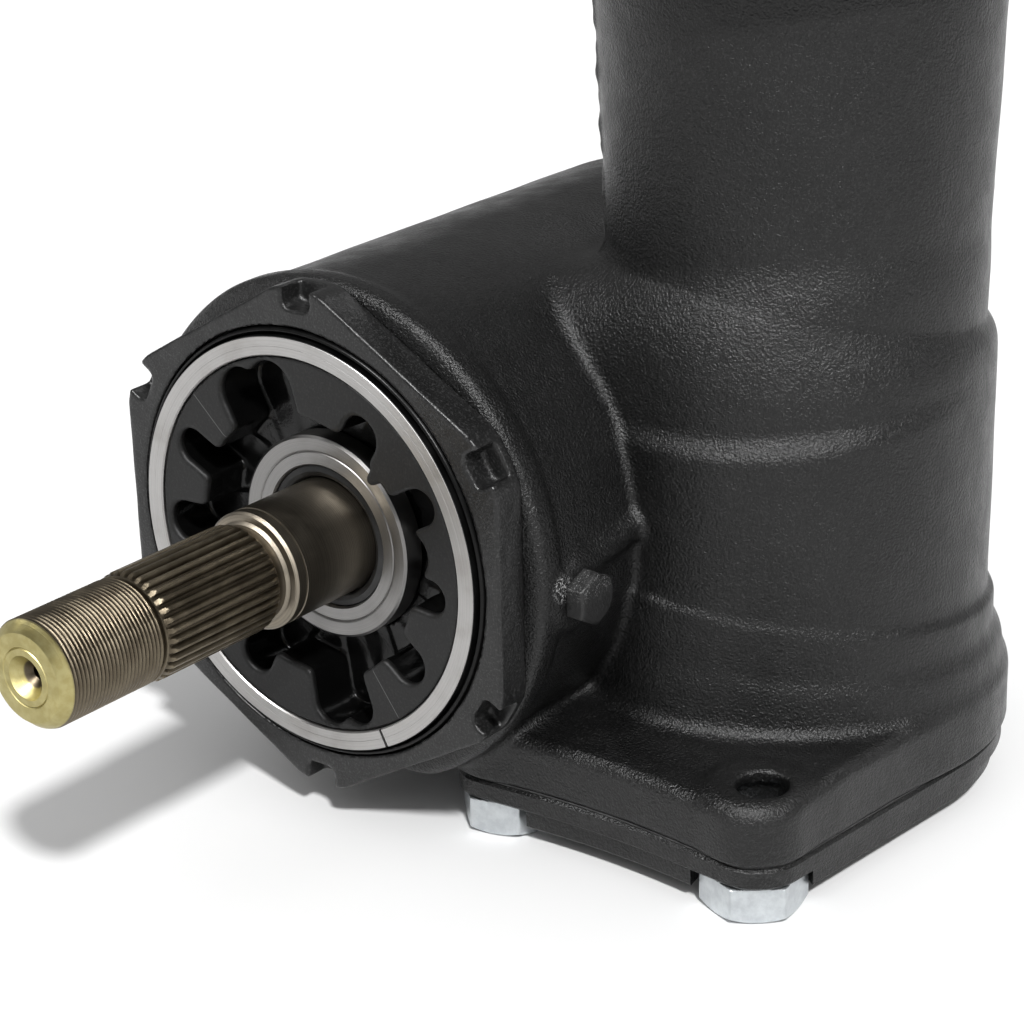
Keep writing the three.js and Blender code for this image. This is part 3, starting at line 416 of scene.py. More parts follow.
class Graph:
    """A small helper that builds a material's nodes."""

    def __init__(self, name):
        self.material = bpy.data.materials.new(name)
        self.material.use_nodes = True
        self.tree = self.material.node_tree
        self.shader = self.tree.nodes["Principled BSDF"]
        self.place = self.add("ShaderNodeTexCoord").outputs["Object"]

    def add(self, kind, **values):
        node = self.tree.nodes.new(kind)
        for key, value in values.items():
            if key in node.inputs:
                self.put(node.inputs[key], value)
            else:
                setattr(node, key, value)
        return node

    def put(self, socket, value):
        if isinstance(value, bpy.types.NodeSocket):
            self.tree.links.new(value, socket)
        else:
            socket.default_value = value

    def noise(self, feature_mm, detail=2.0, roughness=0.5, stretch=None, distortion=0.0):
        """Noise between 0 and 1 with features of about the given size."""
        vector = self.place
        if stretch is not None:
            vector = self.add("ShaderNodeMapping", Vector=vector, Scale=stretch).outputs["Vector"]
        node = self.add("ShaderNodeTexNoise", Vector=vector, Scale=1 / (feature_mm * MM), Detail=detail,
                        Roughness=roughness, Distortion=distortion)
        return node.outputs["Fac"]

    def ramp(self, value, low, high, low_out=0.0, high_out=1.0):
        """Goes smoothly from one output to the other as the value goes from low to high."""
        node = self.add("ShaderNodeMapRange", interpolation_type="SMOOTHSTEP")
        for key, number in (("Value", value), ("From Min", low), ("From Max", high),
                            ("To Min", low_out), ("To Max", high_out)):
            self.put(node.inputs[key], number)
        return node.outputs["Result"]

    def maths(self, operation, a, b=0.0):
        node = self.add("ShaderNodeMath", operation=operation)
        self.put(node.inputs[0], a)
        self.put(node.inputs[1], b)
        return node.outputs[0]

    def mix(self, share, a, b):
        node = self.add("ShaderNodeMix", data_type="RGBA")
        self.put(node.inputs["Factor"], share)
        self.put(node.inputs[6], a)
        self.put(node.inputs[7], b)
        return node.outputs[2]

    def bump(self, height, distance_mm, strength=1.0, under=None):
        node = self.add("ShaderNodeBump", Height=height, Distance=distance_mm * MM, Strength=strength)
        if under is not None:
            self.put(node.inputs["Normal"], under)
        return node.outputs["Normal"]

    def from_output(self):
        """Offsets in metres from the output axis, along X and along Z."""
        parts = self.add("ShaderNodeSeparateXYZ", Vector=self.place)
        return (self.maths("SUBTRACT", parts.outputs["X"], OUT_X * MM),
                self.maths("SUBTRACT", parts.outputs["Z"], OUT_Z * MM))

    def radius(self):
        """Distance in metres from the output axis."""
        dx, dz = self.from_output()
        squares = self.maths("ADD", self.maths("POWER", dx, 2.0), self.maths("POWER", dz, 2.0))
        return self.maths("SQRT", squares)

    def hairline(self, angle, width_mm=0.16):
        """A thin straight line outward from the output axis, at the given angle in degrees."""
        dx, dz = self.from_output()
        turn = math.radians(angle)
        outward = self.maths("ADD", self.maths("MULTIPLY", dx, math.cos(turn)),
                             self.maths("MULTIPLY", dz, math.sin(turn)))
        across = self.maths("SUBTRACT", self.maths("MULTIPLY", dz, math.cos(turn)),
                            self.maths("MULTIPLY", dx, math.sin(turn)))
        near = self.ramp(self.maths("ABSOLUTE", across), width_mm * MM, 0.4 * width_mm * MM)
        return self.maths("MULTIPLY", near, self.maths("GREATER_THAN", outward, 0.0))

    def lines(self, value, line_mm):
        """Fine even lines that vary only with the given value in metres."""
        per_metre = 1 / (line_mm * MM)
        node = self.add("ShaderNodeTexNoise", noise_dimensions="1D", W=value, Scale=per_metre, Detail=3.0)
        return node.outputs["Fac"]

    def near(self, place_mm, radius_mm):
        """1 close to a place in millimetres, fading to 0 at the radius."""
        centre = tuple(value * MM for value in place_mm)
        gap = self.add("ShaderNodeVectorMath", operation="DISTANCE")
        self.put(gap.inputs[0], self.place)
        self.put(gap.inputs[1], centre)
        return self.ramp(gap.outputs["Value"], radius_mm * MM, 0.5 * radius_mm * MM)

    def along(self, axis):
        """Place in metres along one axis."""
        return self.add("ShaderNodeSeparateXYZ", Vector=self.place).outputs[axis]

    def finish(self, **values):
        """Sets or links the shader's sockets, named with _ for a space, and returns the material."""
        for key, value in values.items():
            self.put(self.shader.inputs[key.replace("_", " ")], value)
        return self.material


def grey(value, warm=0.0):
    """A grey with a little more red and less blue if warm is above 0."""
    return (value * (1 + warm), value, value * (1 - warm), 1.0)


def cast_paint(name, shade=0.0045, rough=(0.28, 0.38), grain_mm=0.9, grain=0.60, scratched=None):
    """Satin black paint over a rough casting, speckled, and a little paler where its edges are rubbed."""
    g = Graph(name)
    patches = g.noise(22, detail=4)
    colour = g.mix(g.ramp(patches, 0.35, 0.7), grey(shade * 0.8), grey(shade * 1.2))
    colour = g.mix(g.ramp(g.noise(0.75, detail=2), 0.50, 0.72, 0, 0.8), colour, grey(shade * 4.5))
    edges = g.ramp(g.add("ShaderNodeNewGeometry").outputs["Pointiness"], 0.54, 0.62)
    worn = g.maths("MULTIPLY", edges, g.ramp(g.noise(3.5, detail=4), 0.42, 0.62, 0, 0.55))
    colour = g.mix(worn, colour, grey(0.05))
    if scratched is not None:
        streaks = g.ramp(g.noise(1.8, detail=5, roughness=0.7, distortion=3.0), 0.52, 0.58)
        colour = g.mix(g.maths("MULTIPLY", streaks, g.near(scratched, 6)), colour, grey(0.4))
    coarse = g.bump(g.noise(5, detail=2), 0.3)
    fine = g.bump(g.noise(grain_mm, detail=2.5, roughness=0.6), grain, under=coarse)
    roughness = g.ramp(g.noise(9, detail=3), 0.3, 0.7, *rough)
    return g.finish(Base_Color=colour, Roughness=roughness, Normal=fine, Specular_IOR_Level=0.40)


def oily_paint_and_pocket_shade(name):
    """Black paint on the carrier: satin on its face; glossy and oily in its pockets, whose colour is also painted
    darker there as shade.
    """
    g = Graph(name)
    depth = g.ramp(g.along("Y"), (CARRIER_LOW[1] + 0.7) * MM, (CARRIER_LOW[1] + 3.0) * MM)
    colour = g.mix(g.ramp(g.noise(0.8, detail=2), 0.5, 0.75), grey(0.008), grey(0.018))
    for angle in CARRIER_HAIRLINES:
        colour = g.mix(g.hairline(angle), colour, grey(0.12))
    # Painted shade: deeper into the pockets the colour goes towards near black.
    colour = g.mix(depth, colour, grey(0.002))
    roughness = g.add("ShaderNodeMix", data_type="FLOAT")
    g.put(roughness.inputs["Factor"], depth)
    g.put(roughness.inputs[2], 0.5)
    g.put(roughness.inputs[3], 0.22)
    grain = g.bump(g.noise(1.0, detail=2), 0.08)
    return g.finish(Base_Color=colour, Roughness=roughness.outputs[0], Normal=grain, Specular_IOR_Level=0.3)


def turned_steel(name, shade=0.42, rough=0.4, line_mm=0.3, tint=0.02, shaded_beyond=None):
    """Bare steel with fine turning lines round the output axis.

    shaded_beyond, if given, is a radius in millimetres beyond which the steel is painted near black as shade.
    """
    g = Graph(name)
    radius = g.radius()
    rings = g.lines(radius, line_mm)
    stains = g.noise(16, detail=4)
    colour = g.mix(g.ramp(rings, 0.3, 0.7), grey(shade * 0.92, tint), grey(shade * 1.06, tint))
    colour = g.mix(g.ramp(stains, 0.5, 0.75, 0, 0.35), colour, grey(shade * 0.6, 0.08))
    if shaded_beyond is not None:
        # Painted shade: beyond that radius the colour is made near black.
        painted_shade = g.ramp(radius, shaded_beyond * MM, (shaded_beyond + 0.1) * MM)
        colour = g.mix(painted_shade, colour, grey(0.03))
    roughness = g.ramp(stains, 0.3, 0.75, rough * 0.85, rough * 1.35)
    normal = g.bump(rings, 0.006)
    return g.finish(Base_Color=colour, Metallic=1.0, Roughness=roughness, Normal=normal)


def oiled_steel(name):
    """The output shaft: oiled brown steel, painted darker as shade in its grooves and wherever it is narrower than
    the spline's tips, with a pale brass-coloured end face.
    """
    dark_brown, pale_brown = (0.15, 0.125, 0.088, 1), (0.23, 0.195, 0.14, 1)
    dark_polish, pale_polish = (0.16, 0.14, 0.11, 1), (0.26, 0.23, 0.185, 1)
    dark_gold, pale_gold = (0.36, 0.31, 0.13, 1), (0.43, 0.38, 0.18, 1)
    painted_groove_shade = (0.03, 0.022, 0.014, 1)
    g = Graph(name)
    along = g.along("Y")
    radius = g.radius()
    lines = g.lines(along, 0.25)
    stains = g.noise(7, detail=5, roughness=0.6)
    brown = g.mix(g.ramp(stains, 0.35, 0.7), dark_brown, pale_brown)
    polished = g.mix(g.ramp(lines, 0.35, 0.65), dark_polish, pale_polish)
    journal = g.ramp(along, (SPLINE_END_Y - 0.6) * MM, (SPLINE_END_Y + 3.4) * MM)
    colour = g.mix(journal, brown, polished)
    # Painted shade: below the spline's tips the colour is darkened towards near black, most in the grooves.
    crests = g.ramp(radius, (SPLINE_TIP - 1.3) * MM, (SPLINE_TIP - 0.1) * MM, 0.45, 1.0)
    colour = g.mix(g.maths("MAXIMUM", crests, journal), painted_groove_shade, colour)
    gold = g.mix(g.ramp(g.noise(3, detail=4), 0.35, 0.7), dark_gold, pale_gold)
    end = g.ramp(along, (SHAFT_LOW[1] + 3.6) * MM, (SHAFT_LOW[1] + 3.0) * MM)
    colour = g.mix(end, colour, gold)
    roughness = g.ramp(stains, 0.3, 0.75, 0.28, 0.44)
    normal = g.bump(lines, 0.03)
    normal = g.bump(g.noise(0.5, detail=3), 0.03, under=normal)
    turning = g.add("ShaderNodeTangent", direction_type="RADIAL", axis="Y")
    return g.finish(Base_Color=colour, Metallic=0.95, Roughness=roughness, Normal=normal, Anisotropic=0.75,
                    Tangent=turning.outputs["Tangent"])


def plain_steel(name, shade, rough, scale_mm=2.0, warm=0.0):
    """Gear and bearing steel with faint grinding marks."""
    g = Graph(name)
    marks = g.noise(scale_mm, detail=3, stretch=(1, 6, 1))
    colour = g.mix(g.ramp(marks, 0.3, 0.7), grey(shade * 0.8, warm), grey(shade * 1.15, warm))
    normal = g.bump(marks, 0.02)
    return g.finish(Base_Color=colour, Metallic=1.0, Roughness=rough, Normal=normal)


def zinc_plate(name):
    """Bright zinc plating, slightly mottled."""
    g = Graph(name)
    cloud = g.noise(5, detail=5, roughness=0.65)
    dull, bright = (0.47, 0.495, 0.515, 1), (0.63, 0.66, 0.675, 1)
    colour = g.mix(g.ramp(cloud, 0.3, 0.7), dull, bright)
    roughness = g.ramp(cloud, 0.3, 0.75, 0.30, 0.48)
    normal = g.bump(g.noise(1.6, detail=4), 0.08)
    return g.finish(Base_Color=colour, Metallic=0.85, Roughness=roughness, Normal=normal)


def rubber(name, shade=0.012, rough=0.5, gloss=0.4):
    """Black rubber or gasket paper with a faint bloom."""
    g = Graph(name)
    bloom = g.noise(4, detail=3)
    colour = g.mix(g.ramp(bloom, 0.4, 0.75), grey(shade), grey(shade * 2.4))
    normal = g.bump(g.noise(0.6), 0.03)
    return g.finish(Base_Color=colour, Roughness=rough, Specular_IOR_Level=gloss, Normal=normal)


def chipped_paint(name):
    """The level plug's paint, scratched down to bare metal in thin streaks."""
    g = Graph(name)
    streaks = g.noise(1.1, detail=5, roughness=0.7, distortion=3.0)
    chips = g.ramp(streaks, 0.58, 0.63)
    upper = g.ramp(g.along("Z"), (PLUG[2] - 1) * MM, (PLUG[2] + 5) * MM)
    chips = g.maths("MULTIPLY", chips, upper)
    colour = g.mix(chips, grey(0.006), grey(0.30))
    roughness = g.ramp(g.noise(3), 0.3, 0.7, 0.4, 0.55)
    return g.finish(Base_Color=colour, Roughness=roughness, Normal=g.bump(g.noise(0.9, detail=3), 0.12))


MATERIALS = {
    "black_paint": cast_paint("cast_black_paint"),
    "machined_steel": turned_steel("turned_steel"),
    "oiled_steel": oiled_steel("oiled_shaft_steel"),
    "gear_steel": plain_steel("gear_steel", 0.26, 0.32),
    "bearing_steel": plain_steel("bearing_steel", 0.5, 0.18),
    "zinc": zinc_plate("zinc_plate"),
    "black_rubber": rubber("black_rubber", 0.006, 0.4),
    "gasket": rubber("gasket", 0.03, 0.8),
}


# ---------------------------------------------------------------- housing

def base_outline(x, y, inset=0.0, spot=0.0):
    """The base seen from above: a round with four lobes and a slightly hollow front edge.

    spot, if given, is the radius of a clearing round each bolt.
    """
    front_left, front_right, back, left = BOLTS
    lobe = LOBE_RADIUS - inset
    centre = (0.0, 0.0)
    pairs = [sausage(x, y, place, centre, lobe, BASE_RADIUS - inset) for place in BOLTS]
    for start, end in ((front_left, front_right), (left, front_left), (back, left)):
        pairs.append(sausage(x, y, start, end, lobe, lobe - 0.01))
    outline = np.minimum.reduce(pairs)
    half_span = (front_right[0] - front_left[0]) / 2
    hollow_radius = (half_span ** 2 + HOLLOW_DEPTH ** 2) / (2 * HOLLOW_DEPTH)
    front_y = front_left[1] - LOBE_RADIUS + HOLLOW_DEPTH + inset
    middle_x = (front_left[0] + front_right[0]) / 2
    hollow = np.hypot(x - middle_x, y - front_y + hollow_radius) - hollow_radius
    outline = carve(outline, hollow, 3)
    if spot:
        for bolt_x, bolt_y in BOLTS:
            outline = np.maximum(outline, spot - np.hypot(x - bolt_x, y - bolt_y))
    return outline


def outline_ring(inset, spot):
    """Points round the base outline, found along rays from a place inside it."""
    angles = full_turn(OUTLINE_POINTS)
    centre_x, centre_y = OUTLINE_CENTRE
    near = np.zeros(OUTLINE_POINTS)
    far = np.full(OUTLINE_POINTS, OUTLINE_REACH)
    for _ in range(30):
        reach = (near + far) / 2
        x = centre_x + reach * np.cos(angles)
        y = centre_y + reach * np.sin(angles)
        inside = base_outline(x, y, inset, spot) < 0
        near = np.where(inside, reach, near)
        far = np.where(inside, far, reach)
    return np.stack([centre_x + near * np.cos(angles), centre_y + near * np.sin(angles)], axis=1)


def lofted_plate(name, rows):
    """A plate with the base's outline, skinned from (inset, height, spot) rows from the bottom up."""
    points = []
    for inset, height, spot in rows:
        points.append(np.column_stack([outline_ring(inset, spot), np.full(OUTLINE_POINTS, height)]))
    faces = grid_quads(len(rows), OUTLINE_POINTS, flip=False)
    last = (len(rows) - 1) * OUTLINE_POINTS
    faces.append(list(reversed(range(OUTLINE_POINTS))))
    faces.append(list(range(last, last + OUTLINE_POINTS)))
    return new_object(name, np.concatenate(points), faces, 35)


def side_share(x, y, side):
    """1 on the side of the column that faces the given angle, fading to 0 on the far side."""
    return (0.5 + 0.5 * np.cos(np.arctan2(y, x) - math.radians(side))) ** 1.5


def between(pair, share):
    """The first of a pair of sizes at 0, the second at 1."""
    return pair[0] + (pair[1] - pair[0]) * share


def shoulder(x, y, z):
    """The column's radius: a flared tube, set back at the front, above a wider body in two slopes."""
    share = side_share(x, y, SHOULDER_SIDE)
    facing = np.maximum(np.cos(np.arctan2(y, x) - math.radians(SETBACK_SIDE)), 0) ** 2
    top = between(SHOULDER_TOP, share)
    bottom = between(SHOULDER_BOTTOM, share)
    drop = np.clip((top - z) / (top - bottom), 0, 1)
    tube = TUBE_RADIUS + TUBE_TAPER * (z - TUBE_FOOT_Z) - TUBE_SETBACK * facing
    second = np.clip((bottom + 2 - z) / SECOND_STEP_HEIGHT, 0, 1)
    second = second * second * (3 - 2 * second)
    body = BODY_RADIUS + share * BODY_BULGE + facing * SECOND_STEP * second
    return tube + (body - tube) * (1 - (1 - drop) ** SHOULDER_CURVE)


def seam_flash(x, y, z):
    """Ragged flash left along the casting's two seams, as extra radius."""
    flash = 0.0
    for seam in SEAM_SIDES:
        turn = np.arctan2(y, x) - math.radians(seam)
        off = np.arctan2(np.sin(turn), np.cos(turn)) * BODY_RADIUS
        ragged = 0.5 + 0.3 * np.sin(z / 3.1) + 0.2 * np.sin(z / 1.3 + 1)
        flash = flash + 1.1 * ragged * np.exp(-(off / 1.6) ** 2) * np.clip((z - SEAM_START_Z) / 15, 0, 1)
    return flash


def column_field(x, y, z):
    """The upright body, its sloping shoulder, the tube above it and the foot below."""
    distance = np.hypot(x, y)
    front = side_share(x, y, SHOULDER_SIDE)
    column = meet((distance - shoulder(x, y, z) - seam_flash(x, y, z)) * 0.96, z - TOP_Z, 1.5)
    top_flange = drum(distance, TOP_FLANGE_RADIUS, z, TOP_Z - TOP_FLANGE_DEPTH, TOP_Z, 2.5)
    step = drum(distance, between(STEP_RADIUS, front), z, 20, between(STEP_TOP, front), 2.5)
    foot_radius = BASE_RADIUS + FOOT_BULGE * front - 0.2 * np.clip(z - PAD_Z + 0.5, 0, 30)
    foot = meet((distance - foot_radius) * 0.97, slab(z, 0, between(FOOT_TOP, front)), 5)
    return weld(weld(weld(column, top_flange, 10), step, 1.5), foot, 5)


def chamber_field(x, y, z):
    """The flat-fronted chamber that joins the column to the boss, its round top falling towards the boss."""
    plan = sausage(x, y, CHAMBER_LEFT[:2], CHAMBER_RIGHT[:2], CHAMBER_LEFT[2], CHAMBER_RIGHT[2])
    return meet(plan, (z - CHAMBER_TOP - CHAMBER_FALL * x) * 0.97, CHAMBER_ROUNDING)


def boss_field(x, y, z):
    """The round boss along the output axis, with its collar and the spigot that carries the ring."""
    distance = from_output_axis(x, z)
    boss = drum(distance, BOSS_RADIUS, y, BOSS_FRONT_Y, BOSS_BACK_Y, 5)
    rear = drum(distance, REAR_BOSS_RADIUS, y, 0, REAR_BOSS_BACK_Y, 4)
    collar = drum(distance, COLLAR_RADIUS, y, BOSS_FRONT_Y, BOSS_FRONT_Y + COLLAR_LENGTH, 3)
    spigot = drum(distance, SPIGOT_RADIUS, y, BOSS_FRONT_Y - SPIGOT_LENGTH, 0, 0.5)
    return np.minimum(weld(weld(boss, rear, 14), collar, 3), spigot)


def base_field(x, y, z):
    """The base flange, with a nearly level ledge in front of the column and a pad round each bolt hole."""
    low_y, high_y = LEDGE_Y
    top = between(LEDGE_Z, np.clip((y - low_y) / (high_y - low_y), 0, 1))
    flange = meet(base_outline(x, y), z - top, 4)
    for bolt_x, bolt_y in BOLTS[:2]:
        pad = meet(np.hypot(x - bolt_x, y - bolt_y) - LOBE_RADIUS + 0.5, z - PAD_Z, 5)
        flange = weld(flange, pad, 4)
    return flange


def plug_lug_field(x, y, z):
    """The lug that carries the level plug, with a web running back from it to the column."""
    face = PLUG_LUG_FACE_X
    lug = drum(np.hypot(y - PLUG[1], z - PLUG[2]), PLUG_LUG_RADIUS, x, face - 50, face, 2)
    web = rod(x, y, z, (face - 2, -66, PLUG[2] + 13), (face - 3, PLUG[1], PLUG[2] + 8), 4.2)
    return weld(lug, web, 4)


def hollow_field(x, y, z):
    """Everything that is open inside the housing."""
    upright = np.hypot(x, y)
    output = from_output_axis(x, z)
    middle_axis = np.hypot(x, z - OUT_Z)
    cuts = [
        drum(upright, COLUMN_BORE, z, -10, 148),
        drum(upright, TUBE_BORE, z, 173, TOP_Z + 10),
        drum(upright, CUP_BORE, z, 140, 180),
        drum(output, BOSS_BORE, y, FACE_Y - 10, 56),
        drum(output, PILOT_OUTER + 2 * GAP, y, FACE_Y - 10, PILOT_HIGH[1] + GAP),
        drum(output, CUP_BORE, y, 50, 90),
        drum(middle_axis, MIDDLE_BORE, y, 22, 44.2),
        drum(middle_axis, MIDDLE_CUP_BORE, y, 40, 80),
    ]
    return np.minimum.reduce(np.broadcast_arrays(*cuts))


def hole_field(x, y, z):
    """Bolt holes from below, and the front ones' mouths in the ledge, bored a little to the right."""
    cuts = [drum(np.hypot(x - bx, y - by), BOLT_HOLE, z, -10, 33.4) for bx, by in BOLTS]
    cuts += [drum(np.hypot(x - bx - 3, y - by), 8.3, z, 28, 80) for bx, by in BOLTS[:2]]
    lug = np.hypot(y - PLUG[1], z - PLUG[2])
    cuts.append(drum(lug, 5.4, x, PLUG_FACE_X - 40, PLUG_FACE_X))
    return np.minimum.reduce(np.broadcast_arrays(*cuts))


def housing_field(x, y, z):
    """The whole casting: its outside welded together, cut flat below, then hollowed and bored."""
    middle_boss = drum(np.hypot(x, z - OUT_Z), MIDDLE_BOSS_RADIUS, y, 0, 64.4, 2)
    body = weld(column_field(x, y, z), chamber_field(x, y, z), 6)
    body = weld(body, boss_field(x, y, z), 4)
    body = weld(body, middle_boss, 5)
    body = weld(body, plug_lug_field(x, y, z), 4)
    body = weld(body, base_field(x, y, z), 5)
    body = body + 0.12 * lumps(x, y, z, 9)
    body = meet(body, BASE_Z - z, 1.2)
    body = carve(body, hollow_field(x, y, z), 0.5)
    return carve(body, hole_field(x, y, z), 1.2)


def make_housing():
    housing = cast_piece("housing_casting", housing_field, HOUSING_LOW, HOUSING_HIGH, HOUSING_VOXEL)
    scratch = (PLUG_FACE_X - 9, PLUG[1] - 9, PLUG[2] + 5)
    settle_piece(housing, "housing", cast_paint("housing_black_paint", scratched=scratch))


def make_cover():
    """The bottom cover with the raised pad under it, and the gasket above it."""
    low_z, high_z = COVER_LOW[2], COVER_HIGH[2]
    seat_z = low_z + 7.5
    spot = LOBE_RADIUS + 0.6
    cover = lofted_plate("bottom_cover_plate", [
        (4, low_z, spot), (3, low_z + 1, spot), (3, seat_z, spot), (1.2, seat_z + 0.05, 0),
        (0, seat_z + 1.2, 0), (0, high_z - 1, 0), (1, high_z, 0)])
    settle_piece(cover, "bottom_cover", MATERIALS["black_paint"])
    low_z, middle_z, high_z = GASKET_LOW[2], (GASKET_LOW[2] + GASKET_HIGH[2]) / 2, GASKET_HIGH[2]
    gasket = lofted_plate("pressed_gasket", [(0.9, low_z, 0), (0.7, middle_z, 0), (0.9, high_z, 0)])
    settle_piece(gasket, "bottom_gasket", MATERIALS["gasket"])


# ---------------------------------------------------------------- front rings

def hex_ring_field(x, y, z):
    """The six-sided ring, with a rounded notch for a spanner in each corner."""
    u, v = x - OUT_X, z - OUT_Z
    distance = np.hypot(u, v)
    front, back = RING_LOW[1], RING_HIGH[1]
    half_width, notch_depth, notch_length = HEX_NOTCH
    ring = meet(hexagon(u, v, HEX_APOTHEM), distance - HEX_CORNER, 1.5)
    ring = meet(ring, slab(y, front, back), 0.9)
    bore = np.minimum(distance - 73.3, np.maximum(distance - 76.6, front + 5.6 - y))
    ring = carve(ring, bore, 0.7)
    for k in range(6):
        angle = math.radians(30 + 60 * k)
        outward = u * math.cos(angle) + v * math.sin(angle)
        across = np.abs(v * math.cos(angle) - u * math.sin(angle))
        notch = meet(across - half_width, HEX_CORNER - notch_depth - outward, 3)
        notch = meet(notch, y - (front + notch_length), 1.5)
        ring = carve(ring, notch, 1.0)
    return ring + 0.06 * (1 + lumps(x, y, z, 4))


def make_hex_ring():
    ring = cast_piece("hexagon_ring", hex_ring_field, RING_LOW, RING_HIGH, RING_VOXEL)
    settle_piece(ring, "hex_adjuster_ring",
                 cast_paint("ring_black_paint", shade=0.009, grain_mm=0.8, grain=0.12))


def make_pilot_ring():
    inner, outer = PILOT_INNER, PILOT_OUTER
    front, back = PILOT_LOW[1], PILOT_HIGH[1]
    profile = [(inner, back), (inner, front + 0.5), (inner + 0.4, front), (inner + 3.1, front),
               (inner + 3.2, front + 0.06), (inner + 3.3, front), (outer - 0.3, front),
               (outer, front + 0.3), (outer, back)]
    ring = turned_piece("bright_pilot_ring", profile, 240, gap=PILOT_SPLIT)
    # The ring's outer side is painted near black as shade.
    steel = turned_steel("pilot_ring_steel", shaded_beyond=outer - 0.25)
    settle_piece(ring, "pilot_ring", steel)


def make_pilot_seal():
    low, high = box_mm("pilot_o_ring")
    inner, outer = 70.7, high[2] - OUT_Z
    mid_r, half = (inner + outer) / 2, (outer - inner) / 2
    mid_y, half_y = (low[1] + high[1]) / 2, (high[1] - low[1]) / 2
    profile = [(mid_r + half * math.cos(t), mid_y - half_y * math.sin(t)) for t in full_turn(14)]
    seal = turned_piece("black_pilot_seal", profile, 160, sharp_angle=80)
    settle_piece(seal, "pilot_o_ring", rubber("glossy_rubber", 0.002, 0.3, 0.2))


def carrier_field(x, y, z):
    """The carrier: a faced disc with deep oily pockets round the seal and a hub behind it."""
    u, v = x - OUT_X, z - OUT_Z
    distance = np.hypot(u, v)
    face = CARRIER_LOW[1]
    carrier = drum(distance, 63.5, y, face, -100, 0.6)
    carrier = weld(carrier, drum(distance, 69.6, y, -120, -94, 1), 1)
    carrier = weld(carrier, drum(distance, 41, y, -100, CARRIER_HIGH[1], 1), 6)
    pockets = drum(distance, CARRIER_WELL, y, face - 9, CARRIER_FLOOR_Y - 1, 1.5)
    for angle, outer, half_width in CARRIER_LOBES:
        direction = outward_from_output(angle)
        start, end = (CARRIER_WELL - half_width) * direction, (outer - half_width) * direction
        lobe = sausage(u, v, start, end, half_width, half_width - 0.01)
        pockets = weld(pockets, meet(lobe, slab(y, face - 9, CARRIER_FLOOR_Y), 1.5), 2.5)
    tooth = outward_from_output(CARRIER_TOOTH_SIDE)
    pockets = carve(pockets, sausage(u, v, 41.5 * tooth, 60 * tooth, 1.8, 7), 1.5)
    carrier = carve(carrier, pockets + 0.12 * lumps(x, y, z, 3), 1.4)
    bores = np.minimum.reduce([
        drum(distance, 34.9, y, face - 5, -115),
        drum(distance, 29.5, y, face - 5, -100),
        drum(distance, 34.6, y, -106.3, -60),
    ])
    return carve(carrier, bores, 0.4)


def make_carrier():
    carrier = cast_piece("pocketed_bearing_carrier", carrier_field, CARRIER_LOW, CARRIER_HIGH, RING_VOXEL)
    settle_piece(carrier, "bearing_carrier", oily_paint_and_pocket_shade("oily_black_paint_and_pocket_shade"))


def make_seal():
    low, high = box_mm("output_seal_case")
    outer, inner = high[2] - OUT_Z, SEAL_BORE
    front, back = low[1], high[1]
    case = [(inner, back), (inner, front + 1.2), (inner + 0.6, front + 0.5), (inner + 4.4, front + 0.5),
            (inner + 4.7, front + 0.8), (inner + 5.0, front + 0.5), (inner + 5.6, front + 0.3),
            (outer - 0.9, front), (outer, front + 0.7), (outer, back)]
    ring = turned_piece("bright_seal_case", case, 160)
    settle_piece(ring, "output_seal_case",
                 turned_steel("seal_case_steel", shade=0.23, rough=0.36, line_mm=0.4))
    low, high = box_mm("output_seal_lip")
    lip = [(JOURNAL + 0.3, high[1]), (JOURNAL + 0.3, low[1] + 1.6), (JOURNAL + 1.0, low[1] + 0.6),
           (JOURNAL + 2.4, low[1]), (inner - 0.3, low[1] + 0.6), (inner - 0.3, high[1])]
    ring = turned_piece("black_seal_lip", lip, 128)
    settle_piece(ring, "output_seal_lip", MATERIALS["black_rubber"])


# ---------------------------------------------------------------- output shaft

def tooth_height(angles, teeth, flat=0.34, root=0.22):
    """Height of a spline tooth, 0 at the root and 1 at the tip, with sloping flanks."""
    phase = np.abs(((angles * teeth / (2 * math.pi)) % 1.0) * 2 - 1)
    share = np.clip((phase - root) / (1 - flat - root), 0, 1)
    return share * share * (3 - 2 * share)


